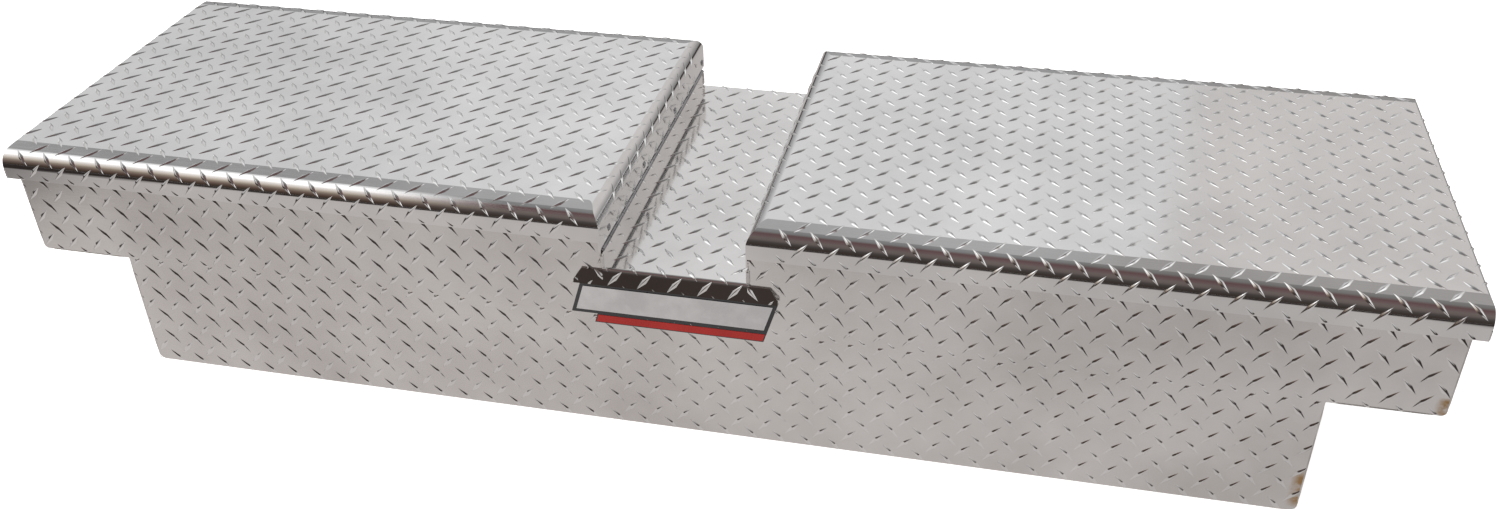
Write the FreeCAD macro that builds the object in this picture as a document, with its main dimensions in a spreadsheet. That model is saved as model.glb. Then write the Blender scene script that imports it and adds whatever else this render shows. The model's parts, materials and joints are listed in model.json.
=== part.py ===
import FreeCAD, Part
import os
import Sketcher

# Gull-wing crossover tool box for a pickup bed, millimetres.
# X runs along the truck's width, Y from the front wall to the back wall, Z up.
# The origin is the centre of the underside of the tub.

doc = FreeCAD.newDocument("tool_box")
sheet = doc.addObject("Spreadsheet::Sheet", "Dims")

DRIVING = {
    # overall form
    "overall_length": 1772,
    "overall_depth": 508,
    "overall_height": 314,
    "wing_length": 1744,
    "tub_length": 1494,
    "body_depth": 494,
    "seam_height": 166,
    "deck_height": 236.5,
    "centre_gap": 177,
    "gauge": 1.6,
    "wall_top": 296,
    # lids
    "lid_skirt": 38,
    "lid_slope_run": 33,
    "lid_slope_drop": 6,
    "lid_front_bend": 20,
    "lid_end_bend": 5,
    "lid_inner_bend": 21,
    "lid_inner_bottom": 264,
    # body bends
    "wing_corner": 6,
    "tub_corner": 9,
    "step_bend": 4,
    "deck_bend": 5,
    "flange_low": 215,
    "flange_wide": 252,
    "flange_flare": 5,
    "flange_corner_wide": 10,
    "flange_corner_tall": 15,
    "ear_drop": 2,
    "upstand_top": 257,
    # floor of the tub
    "floor_lap": 30,
    "rib_line": 120,
    "rib_wide": 18,
    "rib_long": 1200,
    "rib_rise": 3,
    # strip behind the seam, channel under the deck
    "strip_tall": 40,
    "strip_gauge": 2,
    "strip_inset": 8,
    "brace_wide": 60,
    "brace_tall": 22,
    "brace_gauge": 2,
    "brace_inset": 7,
    # opening frame and seal
    "frame_width": 20,
    "frame_hinge_width": 13,
    "frame_lip": 14,
    "coaming_gap": 2.9,
    "coaming_lift": 2,
    "seal_inset": 5,
    "seal_width": 9,
    "seal_tall": 7.6,
    # hat channels under the lids
    "hat_near_x": 350,
    "hat_far_x": 640,
    "hat_long": 390,
    "hat_foot_wide": 76,
    "hat_crown_wide": 44,
    "hat_tall": 13,
    "hat_gauge": 1.2,
    # fits: pins that turn, pins and rivets that are pressed in
    "pin_play": 0.05,
    "press_play": 0.02,
    "pin_stub": 1,
    # hinge
    "hinge_drop": 3.5,
    "knuckle_radius": 2.6,
    "hinge_hole_radius": 1.3,
    "hinge_pin_radius": 1.25,
    "leaf_gauge": 1.2,
    "hinge_length": 486,
    "knuckle_pairs": 9,
    "knuckle_play": 0.3,
    "knuckle_clear": 0.7,
    "leaf_lift": 3,
    "lid_leaf_tall": 28,
    "rivet_pitch": 152.4,
    "rivet_shift": 13,
    "rivet_height": 275,
    "rivet_radius": 2.4,
    "rivet_head_radius": 4.8,
    "rivet_crown_radius": 2.64,
    "rivet_head_tall": 1.5,
    "rivet_tail_radius": 3.6,
    "rivet_tail_tall": 1,
    # gas struts
    "strut_low_x": 185,
    "strut_low_z": 62,
    "strut_high_x": 210,
    "strut_high_z": 284,
    "strut_line_y": 205,
    "strut_tube_radius": 9,
    "strut_bore_radius": 7.6,
    "strut_rod_radius": 4,
    "strut_eye_radius": 7,
    "strut_stud_radius": 3.5,
    "strut_eye_wide": 10,
    "tube_start": 12,
    "tube_long": 153,
    "tube_foot": 6,
    "tube_head": 8,
    "piston_start": 24,
    "piston_long": 7,
    "bracket_gauge": 2,
    "low_foot_wide": 44,
    "low_foot_tall": 32,
    "stud_proud": 1,
    "collar_gap": 0.5,
    "top_foot_wide": 40,
    "top_foot_back": 25,
    "hanger_wide": 22,
    "hanger_near": 9,
    "hanger_far": 12,
    "top_stud_gap": 0.3,
    # latches
    "latch_mid_height": 232,
    "dish_wide": 100,
    "dish_tall": 56,
    "dish_deep": 19,
    "dish_rim": 10,
    "dish_gauge": 1.5,
    "dish_play": 0.1,
    "paddle_pin_depth": 8,
    "paddle_pin_drop": 5.5,
    "paddle_pin_radius": 2.5,
    "paddle_barrel_radius": 4.5,
    "paddle_side_gap": 2,
    "paddle_foot_gap": 2.5,
    "paddle_recess": 2,
    "paddle_gauge": 2,
    "paddle_lip": 7,
    "paddle_bridge_tall": 3,
    "lock_radius": 9,
    "lock_long": 12,
    "lock_drop": 5,
    "lock_recess": 0.8,
    "key_wide": 1.4,
    "key_tall": 8,
    "key_deep": 3,
    "carrier_wide": 40,
    "carrier_gauge": 2,
    "carrier_low": 28,
    "carrier_high": 5.5,
    "cheek_gap": 7,
    "cheek_gauge": 2.5,
    "cheek_reach": 11,
    "cheek_high": 8,
    "hook_x": 838,
    "hook_z": 254,
    "hook_gauge": 5,
    "hook_play": 0.6,
    "hook_rim": 6,
    "hook_arm_radius": 6,
    "hook_hub_radius": 7.5,
    "hook_pin_radius": 3,
    "lever_drop": 18,
    "lever_pin_radius": 2,
    "lever_hub_radius": 5,
    "lever_wide": 4,
    "lever_tail": 10,
    "lever_finger_gap": 8.2,
    "striker_rise": 14,
    "striker_radius": 4,
    "striker_wide": 32,
    "striker_leg_gauge": 3,
    "striker_foot_long": 56,
    # fixing holes in the wing floors
    "fixing_x": 810,
    "fixing_y": 150,
    "fixing_radius": 5.5,
    # nameplate
    "plate_low": 155,
    "plate_tall": 58,
    "plate_step": 13,
    "plate_left": 134,
    "plate_right": 107,
    "plate_foot_left": 105,
    "plate_lean": 0.32,
    "plate_gauge": 1.2,
    "plate_border": 5,
    "plate_bar_gauge": 0.8,
    "plate_foot_border": 1.5,
    "plate_stripe_gauge": 0.5,
}

for row, (alias, number) in enumerate(DRIVING.items(), start=1):
    sheet.set("A%d" % row, alias)
    sheet.set("B%d" % row, str(number))
    sheet.setAlias("B%d" % row, alias)
doc.recompute()

NODES = {}

# A cutting block stands OVER past the faces it cuts. A cut through a sheet starts LEAD
# before the sheet and is THROUGH long.
OVER = "1"
LEAD = "5"
THROUGH = "10"


def dims(text):
    """Prefix every driving dimension in a formula with the name of the sheet."""
    words = sorted(DRIVING, key=len, reverse=True)
    out = ""
    place = 0
    while place < len(text):
        for word in words:
            ends = place + len(word)
            whole = text[place:ends] == word
            joined = ends < len(text) and (text[ends].isalnum() or text[ends] == "_")
            before = place > 0 and (text[place - 1].isalnum() or text[place - 1] == "_")
            if whole and not joined and not before:
                out += "Dims." + word
                place = ends
                break
        else:
            out += text[place]
            place += 1
    return out


def number(text):
    """The present value of a formula, in millimetres."""
    answer = sheet.evalExpression(dims(text))
    return float(getattr(answer, "Value", answer))


def keep(obj, node):
    """Name an object as one physical piece of the tool box."""
    obj.Label = node
    NODES[node] = obj
    return obj


# ---- primitives ---------------------------------------------------------------

def box(name, x_low, x_high, y_low, y_high, z_low, z_high):
    """A block between two corners, each edge given by a formula."""
    block = doc.addObject("Part::Box", name)
    lows = (x_low, y_low, z_low)
    highs = (x_high, y_high, z_high)
    for side, low, high in zip(("Length", "Width", "Height"), lows, highs):
        block.setExpression(side, dims("(%s) - (%s)" % (high, low)))
    for axis, low in zip("xyz", lows):
        block.setExpression("Placement.Base." + axis, dims(low))
    return block


TURN = {
    "X": FreeCAD.Rotation(FreeCAD.Vector(0, 1, 0), 90),
    "Y": FreeCAD.Rotation(FreeCAD.Vector(1, 0, 0), -90),
    "Z": FreeCAD.Rotation(),
}


def rod(name, axis, x_start, y_start, z_start, radius, length):
    """A round bar that starts at a point and runs along one axis."""
    bar = doc.addObject("Part::Cylinder", name)
    bar.Placement = FreeCAD.Placement(FreeCAD.Vector(), TURN[axis])
    bar.setExpression("Radius", dims(radius))
    bar.setExpression("Height", dims(length))
    for letter, start in zip("xyz", (x_start, y_start, z_start)):
        bar.setExpression("Placement.Base." + letter, dims(start))
    return bar


def fuse(name, parts):
    joined = doc.addObject("Part::MultiFuse", name)
    joined.Shapes = parts
    return joined


def cut(name, base, tool):
    left_over = doc.addObject("Part::Cut", name)
    left_over.Base = base
    left_over.Tool = tool
    return left_over


def common(name, base, tool):
    shared = doc.addObject("Part::Common", name)
    shared.Base = base
    shared.Tool = tool
    return shared


def group(name, parts):
    together = doc.addObject("Part::Compound", name)
    together.Links = parts
    return together


def mirrored(node, source):
    """The right-hand twin of a left-hand piece, reflected in the centre plane."""
    twin = doc.addObject("Part::Mirroring", node)
    twin.Source = source
    twin.Normal = FreeCAD.Vector(1, 0, 0)
    return keep(twin, node)


# ---- sketched bodies ------------------------------------------------------------

def origin_plane(body, role):
    return [item for item in body.Origin.OriginFeatures if item.Role == role][0]


def new_body(name):
    return doc.addObject("PartDesign::Body", name)


def attach(sketch, body, role, offset):
    sketch.AttachmentSupport = (origin_plane(body, role), [""])
    sketch.MapMode = "FlatFace"
    sketch.setExpression("AttachmentOffset.Base.z", dims(offset))


def pin_down(sketch, geometry, point, across, up):
    """Hold one sketch point at its two coordinates by formulas."""
    for kind, axis, text in (("DistanceX", -2, across), ("DistanceY", -1, up)):
        size = number(text)
        if abs(size) < 1e-6:
            sketch.addConstraint(Sketcher.Constraint("PointOnObject", geometry, point, axis))
            continue
        if size > 0:
            rule = Sketcher.Constraint(kind, -1, 1, geometry, point, size)
            formula = text
        else:
            rule = Sketcher.Constraint(kind, geometry, point, -1, 1, -size)
            formula = "-(%s)" % text
        index = sketch.addConstraint(rule)
        sketch.setExpression("Constraints[%d]" % index, dims(formula))


def outlines(body, name, role, offset, loops, circles=()):
    """A sketch of closed straight-sided loops and of circles on an origin plane."""
    sketch = body.newObject("Sketcher::SketchObject", name)
    attach(sketch, body, role, offset)
    for corners in loops:
        spots = [FreeCAD.Vector(number(a), number(b), 0) for a, b in corners]
        first = sketch.GeometryCount
        count = len(spots)
        for i in range(count):
            sketch.addGeometry(Part.LineSegment(spots[i], spots[(i + 1) % count]))
        for i in range(count):
            after = first + (i + 1) % count
            sketch.addConstraint(Sketcher.Constraint("Coincident", first + i, 2, after, 1))
        for i, (across, up) in enumerate(corners):
            pin_down(sketch, first + i, 1, across, up)
    for across, up, radius in circles:
        centre = FreeCAD.Vector(number(across), number(up), 0)
        ring = Part.Circle(centre, FreeCAD.Vector(0, 0, 1), number(radius))
        index = sketch.addGeometry(ring)
        pin_down(sketch, index, 3, across, up)
        size = sketch.addConstraint(Sketcher.Constraint("Radius", index, number(radius)))
        sketch.setExpression("Constraints[%d]" % size, dims(radius))
    return sketch


def pad(body, sketch, length, middle=False):
    raised = body.newObject("PartDesign::Pad", sketch.Name + "_pad")
    raised.Profile = sketch
    raised.setExpression("Length", dims(length))
    if middle:
        raised.Midplane = True
    sketch.Visibility = False
    doc.recompute()
    return raised


def pocket(body, sketch, length, middle=False):
    hollow = body.newObject("PartDesign::Pocket", sketch.Name + "_pocket")
    hollow.Profile = sketch
    hollow.setExpression("Length", dims(length))
    if middle:
        hollow.Midplane = True
    sketch.Visibility = False
    doc.recompute()
    return hollow


def edges_at(shape, axis, spots):
    """Names of straight edges along an axis that pass through given cross positions."""
    others = [i for i in range(3) if i != axis]
    names = []
    for i, edge in enumerate(shape.Edges, start=1):
        ends = [vertex.Point for vertex in edge.Vertexes]
        if len(ends) != 2 or edge.Curve.TypeId != "Part::GeomLine":
            continue
        if any(abs(ends[0][k] - ends[1][k]) > 1e-4 for k in others):
            continue
        for spot in spots:
            if all(abs(ends[0][k] - number(want)) < 0.01 for k, want in zip(others, spot)):
                names.append("Edge%d" % i)
    return names


def rounded(body, name, axis, spots, radius):
    """Round the straight edges of a body that run along an axis at given positions."""
    base = body.Tip
    fillet = body.newObject("PartDesign::Fillet", name)
    fillet.Base = (base, edges_at(base.Shape, axis, spots))
    fillet.setExpression("Radius", dims(radius))
    doc.recompute()
    return fillet


def rectangle(a_low, a_high, b_low, b_high):
    return [(a_low, b_low), (a_high, b_low), (a_high, b_high), (a_low, b_high)]


# ---- tub: the narrower lower half that drops between the bed rails ----------------

def tub_wall(node, offset):
    """Flat tread-plate wall of the tub, with its two lower corners rounded."""
    body = new_body(node)
    half = "tub_length / 2"
    shape = outlines(body, node + "_outline", "XZ_Plane", offset,
                     [rectangle("-" + half, half, "0", "seam_height")])
    pad(body, shape, "gauge")
    spots = [(x, "0") for x in ("-" + half, half)]
    rounded(body, node + "_corner", 1, spots, "tub_corner")
    return keep(body, node)


def tub_floor():
    """Flat floor between the two end caps, stiffened by two swaged ribs."""
    node = "tub_floor"
    reach = "tub_length / 2 - floor_lap"
    slab = box("floor_sheet", "-(%s)" % reach, reach, "-body_depth / 2 + gauge",
               "body_depth / 2 - gauge", "0", "gauge")
    ribs = []
    for i, line in enumerate(("-rib_line", "rib_line")):
        ribs.append(box("floor_rib_%d" % i, "-rib_long / 2", "rib_long / 2",
                        line + " - rib_wide / 2", line + " + rib_wide / 2",
                        "gauge", "gauge + rib_rise"))
    return keep(fuse(node, [slab] + ribs), node)


def end_cap():
    """One bent sheet: outer end wall, wing floor, tub end wall and a lap onto the floor."""
    node = "left_end_cap"
    body = new_body(node)
    wing = "-wing_length / 2"
    tub = "-tub_length / 2"
    profile = [
        (wing, "wall_top"),
        (wing, "seam_height"),
        (tub, "seam_height"),
        (tub, "0"),
        (tub + " + floor_lap", "0"),
        (tub + " + floor_lap", "gauge"),
        (tub + " + gauge", "gauge"),
        (tub + " + gauge", "seam_height + gauge"),
        (wing + " + gauge", "seam_height + gauge"),
        (wing + " + gauge", "wall_top"),
    ]
    section = outlines(body, "cap_profile", "XZ_Plane", "0", [profile])
    pad(body, section, "body_depth - 2 * gauge", middle=True)
    rounded(body, "wing_bend_inside", 1,
            [(wing + " + gauge", "seam_height + gauge")], "wing_corner - gauge")
    rounded(body, "wing_bend_outside", 1, [(wing, "seam_height")], "wing_corner")
    rounded(body, "step_bend_outside", 1, [(tub, "seam_height")], "step_bend")
    rounded(body, "step_bend_inside", 1,
            [(tub + " + gauge", "seam_height + gauge")], "step_bend + gauge")
    rounded(body, "floor_bend_inside", 1, [(tub + " + gauge", "gauge")], "tub_corner - gauge")
    rounded(body, "floor_bend_outside", 1, [(tub, "0")], "tub_corner")
    holes = outlines(body, "fixing_holes", "XY_Plane", "seam_height - " + LEAD, [],
                     [("-fixing_x", "-fixing_y", "fixing_radius"),
                      ("-fixing_x", "fixing_y", "fixing_radius")])
    bore = pocket(body, holes, THROUGH)
    bore.Reversed = True
    window = outlines(body, "latch_window", "YZ_Plane", "-wing_length / 2 - " + LEAD,
                      [rectangle("-dish_wide / 2", "dish_wide / 2",
                                 "latch_mid_height - dish_tall / 2",
                                 "latch_mid_height + dish_tall / 2")])
    opening = pocket(body, window, THROUGH)
    opening.Reversed = True
    doc.recompute()
    keep(body, node)
    mirrored("right_end_cap", body)


def upper_wall(node, offset):
    """Tread-plate wall of the wings; it dips to carry the sunken deck in the middle."""
    body = new_body(node)
    wing = "wing_length / 2"
    gap = "(centre_gap / 2 + gauge)"
    low = "deck_height - deck_bend"
    profile = [
        ("-" + wing, "seam_height"), (wing, "seam_height"), (wing, "wall_top"),
        (gap, "wall_top"), (gap, low), ("-" + gap, low),
        ("-" + gap, "wall_top"), ("-" + wing, "wall_top"),
    ]
    shape = outlines(body, node + "_outline", "XZ_Plane", offset, [profile])
    pad(body, shape, "gauge")
    rounded(body, node + "_corner", 1,
            [("-" + wing, "seam_height"), (wing, "seam_height"),
             ("-" + gap, "wall_top"), (gap, "wall_top")], "wing_corner")
    return keep(body, node)


def seam_strip(node, y_low):
    """Backing strip inside the box behind the butt seam between upper and lower wall."""
    return keep(box(node, "-tub_length / 2 + strip_inset", "tub_length / 2 - strip_inset",
                    y_low, y_low + " + strip_gauge",
                    "seam_height - strip_tall / 2", "seam_height + strip_tall / 2"), node)


def centre_bridge():
    """Sunken deck between the lids, folded down outside the front and back walls.

    The folded flanges are wider than the gap and lean out a little; the two upstands carry
    the hinges."""
    node = "centre_bridge"
    body = new_body(node)
    inside = "(body_depth / 2)"
    outside = "(body_depth / 2 + gauge)"
    low = "flange_low"
    deck = [
        ("-%s - flange_flare" % outside, low), ("-" + outside, "deck_height"),
        (outside, "deck_height"), (outside + " + flange_flare", low),
        (inside + " + flange_flare", low), (inside, "deck_height - gauge"),
        ("-" + inside, "deck_height - gauge"), ("-%s - flange_flare" % inside, low),
    ]
    section = outlines(body, "deck_profile", "YZ_Plane", "0", [deck])
    pad(body, section, "centre_gap", middle=True)
    rounded(body, "flange_bend_inside", 0,
            [("-" + inside, "deck_height - gauge"), (inside, "deck_height - gauge")],
            "deck_bend - gauge")
    rounded(body, "flange_bend_outside", 0,
            [("-" + outside, "deck_height"), (outside, "deck_height")], "deck_bend")
    notch_foot = "(deck_height - deck_bend)"
    ear_top = "(deck_height - ear_drop)"
    outer_top = "(%s + flange_flare * ear_drop / (deck_height - flange_low))" % outside
    inner_top = ("(%s + flange_flare * (ear_drop - gauge) / (deck_height - gauge - flange_low))"
                 % inside)
    ears = [
        [("-%s - flange_flare" % outside, low), ("-" + outer_top, ear_top),
         ("-" + inner_top, ear_top), ("-%s - flange_flare" % inside, low)],
        [(outside + " + flange_flare", low), (outer_top, ear_top),
         (inner_top, ear_top), (inside + " + flange_flare", low)],
    ]
    end = "flange_wide / 2"
    for name, start in (("left_ears", "-" + end), ("right_ears", "centre_gap / 2")):
        pad(body, outlines(body, name, "YZ_Plane", start, ears), "(flange_wide - centre_gap) / 2")
    corners = [
        [("-" + end, ear_top), ("-%s + flange_corner_wide" % end, ear_top),
         ("-" + end, ear_top + " - flange_corner_tall")],
        [(end, ear_top), (end + " - flange_corner_wide", ear_top),
         (end, ear_top + " - flange_corner_tall")],
    ]
    pocket(body, outlines(body, "ear_corners", "XZ_Plane", "0", corners), "overall_depth",
           middle=True)
    gap = "centre_gap / 2"
    sides = outlines(body, "upstand_profile", "XZ_Plane", "0",
                     [rectangle("-%s - gauge" % gap, "-" + gap, notch_foot, "upstand_top"),
                      rectangle(gap, gap + " + gauge", notch_foot, "upstand_top")])
    pad(body, sides, "body_depth", middle=True)
    return keep(body, node)


def bridge_brace():
    """Channel under the deck that carries a person's weight to the front and back walls."""
    node = "bridge_brace"
    top = "deck_height - gauge"
    reach = "(body_depth / 2 - brace_inset)"
    half = "brace_wide / 2"
    outer = box("brace_outer", "-" + half, half, "-" + reach, reach, top + " - brace_tall", top)
    inner = box("brace_inner", "-%s + brace_gauge" % half, half + " - brace_gauge",
                "-%s - %s" % (reach, OVER), "%s + %s" % (reach, OVER),
                "%s - brace_tall - %s" % (top, OVER), top + " - brace_gauge")
    return keep(cut(node, outer, inner), node)


# ---- opening frame, seal -----------------------------------------------------------

def opening_frame():
    """Turned-in rim round the opening under a lid, with a drip lip and an inner coaming."""
    node = "left_opening_frame"
    far = "-wing_length / 2"
    near = "-(centre_gap / 2 + gauge + coaming_gap)"
    deep = "body_depth / 2"
    top = "wall_top + gauge"
    flange = box("frame_flange", far, near, "-" + deep, deep, "wall_top", top)
    hole = box("frame_hole", far + " + frame_width", near + " - frame_hinge_width",
               "-%s + frame_width" % deep, deep + " - frame_width",
               "wall_top - frame_lip - " + OVER, "%s + %s" % (top, OVER))
    lip = box("frame_lip_block", far + " + frame_width - gauge",
              near + " - frame_hinge_width + gauge", "-%s + frame_width - gauge" % deep,
              deep + " - frame_width + gauge", "wall_top - frame_lip", "wall_top")
    coaming = box("frame_coaming", near + " - gauge", near, "-%s + gauge" % deep,
                  deep + " - gauge", "deck_height + coaming_lift", "wall_top")
    frame = fuse(node, [cut("frame_ring", fuse("frame_blank", [flange, lip]), hole), coaming])
    keep(frame, node)
    mirrored("right_opening_frame", frame)


def weather_seal():
    """Rubber bulb that runs round the rim, just under the lid."""
    node = "left_weather_seal"
    body = new_body(node)
    edge = "(frame_hinge_width - seal_width) / 2"
    far = "-wing_length / 2 + seal_inset"
    near = "-(centre_gap / 2 + gauge + coaming_gap) - " + edge
    deep = "body_depth / 2 - seal_inset"
    outer = rectangle(far, near, "-(%s)" % deep, deep)
    inner = rectangle(far + " + seal_width", near + " - seal_width",
                      "-(%s) + seal_width" % deep, deep + " - seal_width")
    ring = outlines(body, "seal_ring", "XY_Plane", "wall_top + gauge", [outer, inner])
    pad(body, ring, "seal_tall")
    keep(body, node)
    mirrored("right_weather_seal", body)


# ---- lids --------------------------------------------------------------------------

SLOPE = "(lid_slope_drop / lid_slope_run)"
SECANT = "sqrt(1 + %s * %s)" % (SLOPE, SLOPE)


def lid_blank(name, thick):
    """Solid lid form, shrunk by a thickness: a sloped long section crossed with an end one."""
    long_way = new_body(name + "_long")
    deep = "(overall_depth / 2 - %s)" % thick
    top = "overall_height - " + thick
    edge = "overall_height - lid_slope_drop + (%s) * %s - %s * %s" % (thick, SLOPE, thick, SECANT)
    run = "(overall_depth / 2 - lid_slope_run + %s * (%s - 1) / %s)" % (thick, SECANT, SLOPE)
    low = "lid_inner_bottom"
    if thick != "0":
        low += " - " + OVER
    section = [
        ("-" + deep, low), (deep, low), (deep, edge), (run, top), ("-" + run, top),
        ("-" + deep, edge),
    ]
    far = "overall_length / 2"
    profile = outlines(long_way, name + "_section", "YZ_Plane", "-%s - %s" % (far, OVER),
                       [section])
    pad(long_way, profile, "%s - centre_gap / 2 + 2 * %s" % (far, OVER))
    rounded(long_way, name + "_front_bend", 0, [("-" + deep, edge), (deep, edge)],
            "lid_front_bend - " + thick)
    end_way = new_body(name + "_ends")
    outer = "-(%s - %s)" % (far, thick)
    inner = "-(centre_gap / 2 + %s)" % thick
    ends = outlines(end_way, name + "_ends_profile", "XZ_Plane", "0",
                    [rectangle(outer, inner, low, top)])
    pad(end_way, ends, "overall_depth + 2 * " + OVER, middle=True)
    rounded(end_way, name + "_end_bend", 1, [(outer, top)], "lid_end_bend - " + thick)
    rounded(end_way, name + "_inner_bend", 1, [(inner, top)], "lid_inner_bend - " + thick)
    return common(name, long_way, end_way)


def lid_skin():
    """Tread-plate lid: flat top, sloped front and back margins, mitred turned-down skirts."""
    node = "left_lid_skin"
    shell = cut("lid_shell", lid_blank("lid_outside", "0"), lid_blank("lid_inside", "gauge"))
    trim = box("lid_skirt_trim", "-overall_length / 2 - " + OVER, "-centre_gap / 2 - gauge",
               "-overall_depth / 2 - " + OVER, "overall_depth / 2 + " + OVER,
               "lid_inner_bottom - " + OVER, "overall_height - lid_skirt")
    tools = [trim] + rivet_bars("lid_rivet_hole", "rivet_radius + press_play")
    skin = cut(node, shell, fuse("lid_trim_tools", tools))
    keep(skin, node)
    mirrored("right_lid_skin", skin)


def rivet_lines():
    """Y positions of the four rivets that hold the hinge to a lid."""
    return ["rivet_pitch * (%s) + rivet_shift" % step for step in ("-1.5", "-0.5", "0.5", "1.5")]


def rivet_bars(name, radius):
    bars = []
    for i, line in enumerate(rivet_lines()):
        bars.append(rod("%s_%d" % (name, i), "X", "-centre_gap / 2 - " + LEAD, line,
                        "rivet_height", radius, THROUGH))
    return bars


def lid_stiffeners():
    """Two hat channels bonded under the lid, front to back."""
    node = "left_lid_stiffeners"
    top = "overall_height - gauge"
    hats = []
    reach = "hat_long / 2"
    well = "(hat_crown_wide / 2 - hat_gauge)"
    for i, line in enumerate(("-hat_near_x", "-hat_far_x")):
        foot = box("hat_foot_%d" % i, line + " - hat_foot_wide / 2", line + " + hat_foot_wide / 2",
                   "-" + reach, reach, top + " - hat_gauge", top)
        crown = box("hat_crown_%d" % i, line + " - hat_crown_wide / 2",
                    line + " + hat_crown_wide / 2", "-" + reach, reach, top + " - hat_tall", top)
        hollow = box("hat_hollow_%d" % i, "%s - %s" % (line, well), "%s + %s" % (line, well),
                     "-%s - %s" % (reach, OVER), "%s + %s" % (reach, OVER),
                     top + " - hat_tall + hat_gauge", "%s + %s" % (top, OVER))
        hats.append(cut("hat_%d" % i, fuse("hat_blank_%d" % i, [foot, crown]), hollow))
    stiff = group(node, hats)
    keep(stiff, node)
    mirrored("right_lid_stiffeners", stiff)


# ---- piano hinge --------------------------------------------------------------------

HINGE_X = "-(centre_gap / 2 + gauge + leaf_gauge - knuckle_radius)"
HINGE_Z = "(lid_inner_bottom - hinge_drop)"
LEAF_BACK = "-(centre_gap / 2 + gauge + leaf_gauge)"
LEAF_FACE = "-(centre_gap / 2 + gauge)"
KNUCKLE = "(hinge_length / (2 * knuckle_pairs))"


def hinge_leaf(node, z_low, z_high, first, count, keep_low):
    """A leaf with rolled knuckles; every other knuckle length is cut away for its mate."""
    body = new_body(node)
    start = "-hinge_length / 2"
    flat = outlines(body, node + "_flat", "XZ_Plane", "0",
                    [rectangle(LEAF_BACK, LEAF_FACE, z_low, z_high)])
    pad(body, flat, "hinge_length", middle=True)
    curl = outlines(body, node + "_curl", "XZ_Plane", "0", [],
                    [(HINGE_X, HINGE_Z, "knuckle_radius")])
    pad(body, curl, "hinge_length", middle=True)
    eye = outlines(body, node + "_eye", "XZ_Plane", "0", [],
                   [(HINGE_X, HINGE_Z, "hinge_hole_radius")])
    pocket(body, eye, "hinge_length + 2 * " + OVER, middle=True)
    leaf_side = "(knuckle_radius + knuckle_clear)"
    free_side = "(knuckle_radius + %s)" % OVER
    below, above = (leaf_side, free_side) if keep_low else (free_side, leaf_side)
    place = "%s + %s * %d" % (start, KNUCKLE, first)
    gap = outlines(body, node + "_gap", "YZ_Plane", "%s - %s" % (LEAF_BACK, OVER),
                   [rectangle(place + " - knuckle_play", place + " + %s + knuckle_play" % KNUCKLE,
                              "%s - %s" % (HINGE_Z, below), "%s + %s" % (HINGE_Z, above))])
    notch = pocket(body, gap, "2 * knuckle_radius + 2 * " + OVER)
    notch.Reversed = True
    doc.recompute()
    row = body.newObject("PartDesign::LinearPattern", node + "_row")
    row.Originals = [notch]
    row.Direction = (origin_plane(body, "Y_Axis"), [""])
    row.setExpression("Length", dims("%s * %d" % (KNUCKLE, 2 * (count - 1))))
    row.Occurrences = count
    body.Tip = row
    doc.recompute()
    return body


def hinges():
    pairs = int(DRIVING["knuckle_pairs"])
    body_leaf = hinge_leaf("left_hinge_body_leaf", "deck_height + leaf_lift", HINGE_Z, 1,
                           pairs, True)
    keep(body_leaf, "left_hinge_body_leaf")
    blank = hinge_leaf("lid_leaf_blank", HINGE_Z, HINGE_Z + " + lid_leaf_tall", 0, pairs, False)
    holes = fuse("leaf_rivet_holes", rivet_bars("leaf_rivet_hole", "rivet_radius + press_play"))
    lid_leaf = keep(cut("left_hinge_lid_leaf", blank, holes), "left_hinge_lid_leaf")
    pin = rod("left_hinge_pin", "Y", HINGE_X, "-hinge_length / 2 - pin_stub", HINGE_Z,
              "hinge_pin_radius", "hinge_length + 2 * pin_stub")
    keep(pin, "left_hinge_pin")
    rivets = []
    for i, line in enumerate(rivet_lines()):
        shank = rod("rivet_shank_%d" % i, "X", LEAF_BACK + " - rivet_tail_tall", line,
                    "rivet_height", "rivet_radius",
                    "rivet_tail_tall + leaf_gauge + gauge + rivet_head_tall / 2")
        head = doc.addObject("Part::Cone", "rivet_head_%d" % i)
        head.Placement = FreeCAD.Placement(FreeCAD.Vector(), TURN["X"])
        head.setExpression("Radius1", dims("rivet_head_radius"))
        head.setExpression("Radius2", dims("rivet_crown_radius"))
        head.setExpression("Height", dims("rivet_head_tall"))
        tail = rod("rivet_tail_%d" % i, "X", LEAF_BACK + " - rivet_tail_tall", line,
                   "rivet_height", "rivet_tail_radius", "rivet_tail_tall")
        for letter, text in zip("xyz", ("-centre_gap / 2", line, "rivet_height")):
            head.setExpression("Placement.Base." + letter, dims(text))
        rivets.append(fuse("rivet_%d" % i, [shank, head, tail]))
    set_of_rivets = keep(group("left_hinge_rivets", rivets), "left_hinge_rivets")
    mirrored("right_hinge_body_leaf", body_leaf)
    mirrored("right_hinge_lid_leaf", lid_leaf)
    mirrored("right_hinge_pin", pin)
    mirrored("right_hinge_rivets", set_of_rivets)


# ---- gas struts -----------------------------------------------------------------------

STRUT_RISE = "(strut_high_z - strut_low_z)"
STRUT_LEAN = "(strut_high_x - strut_low_x)"
STRUT_LONG = "sqrt(%s * %s + %s * %s)" % (STRUT_RISE, STRUT_RISE, STRUT_LEAN, STRUT_LEAN)


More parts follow.
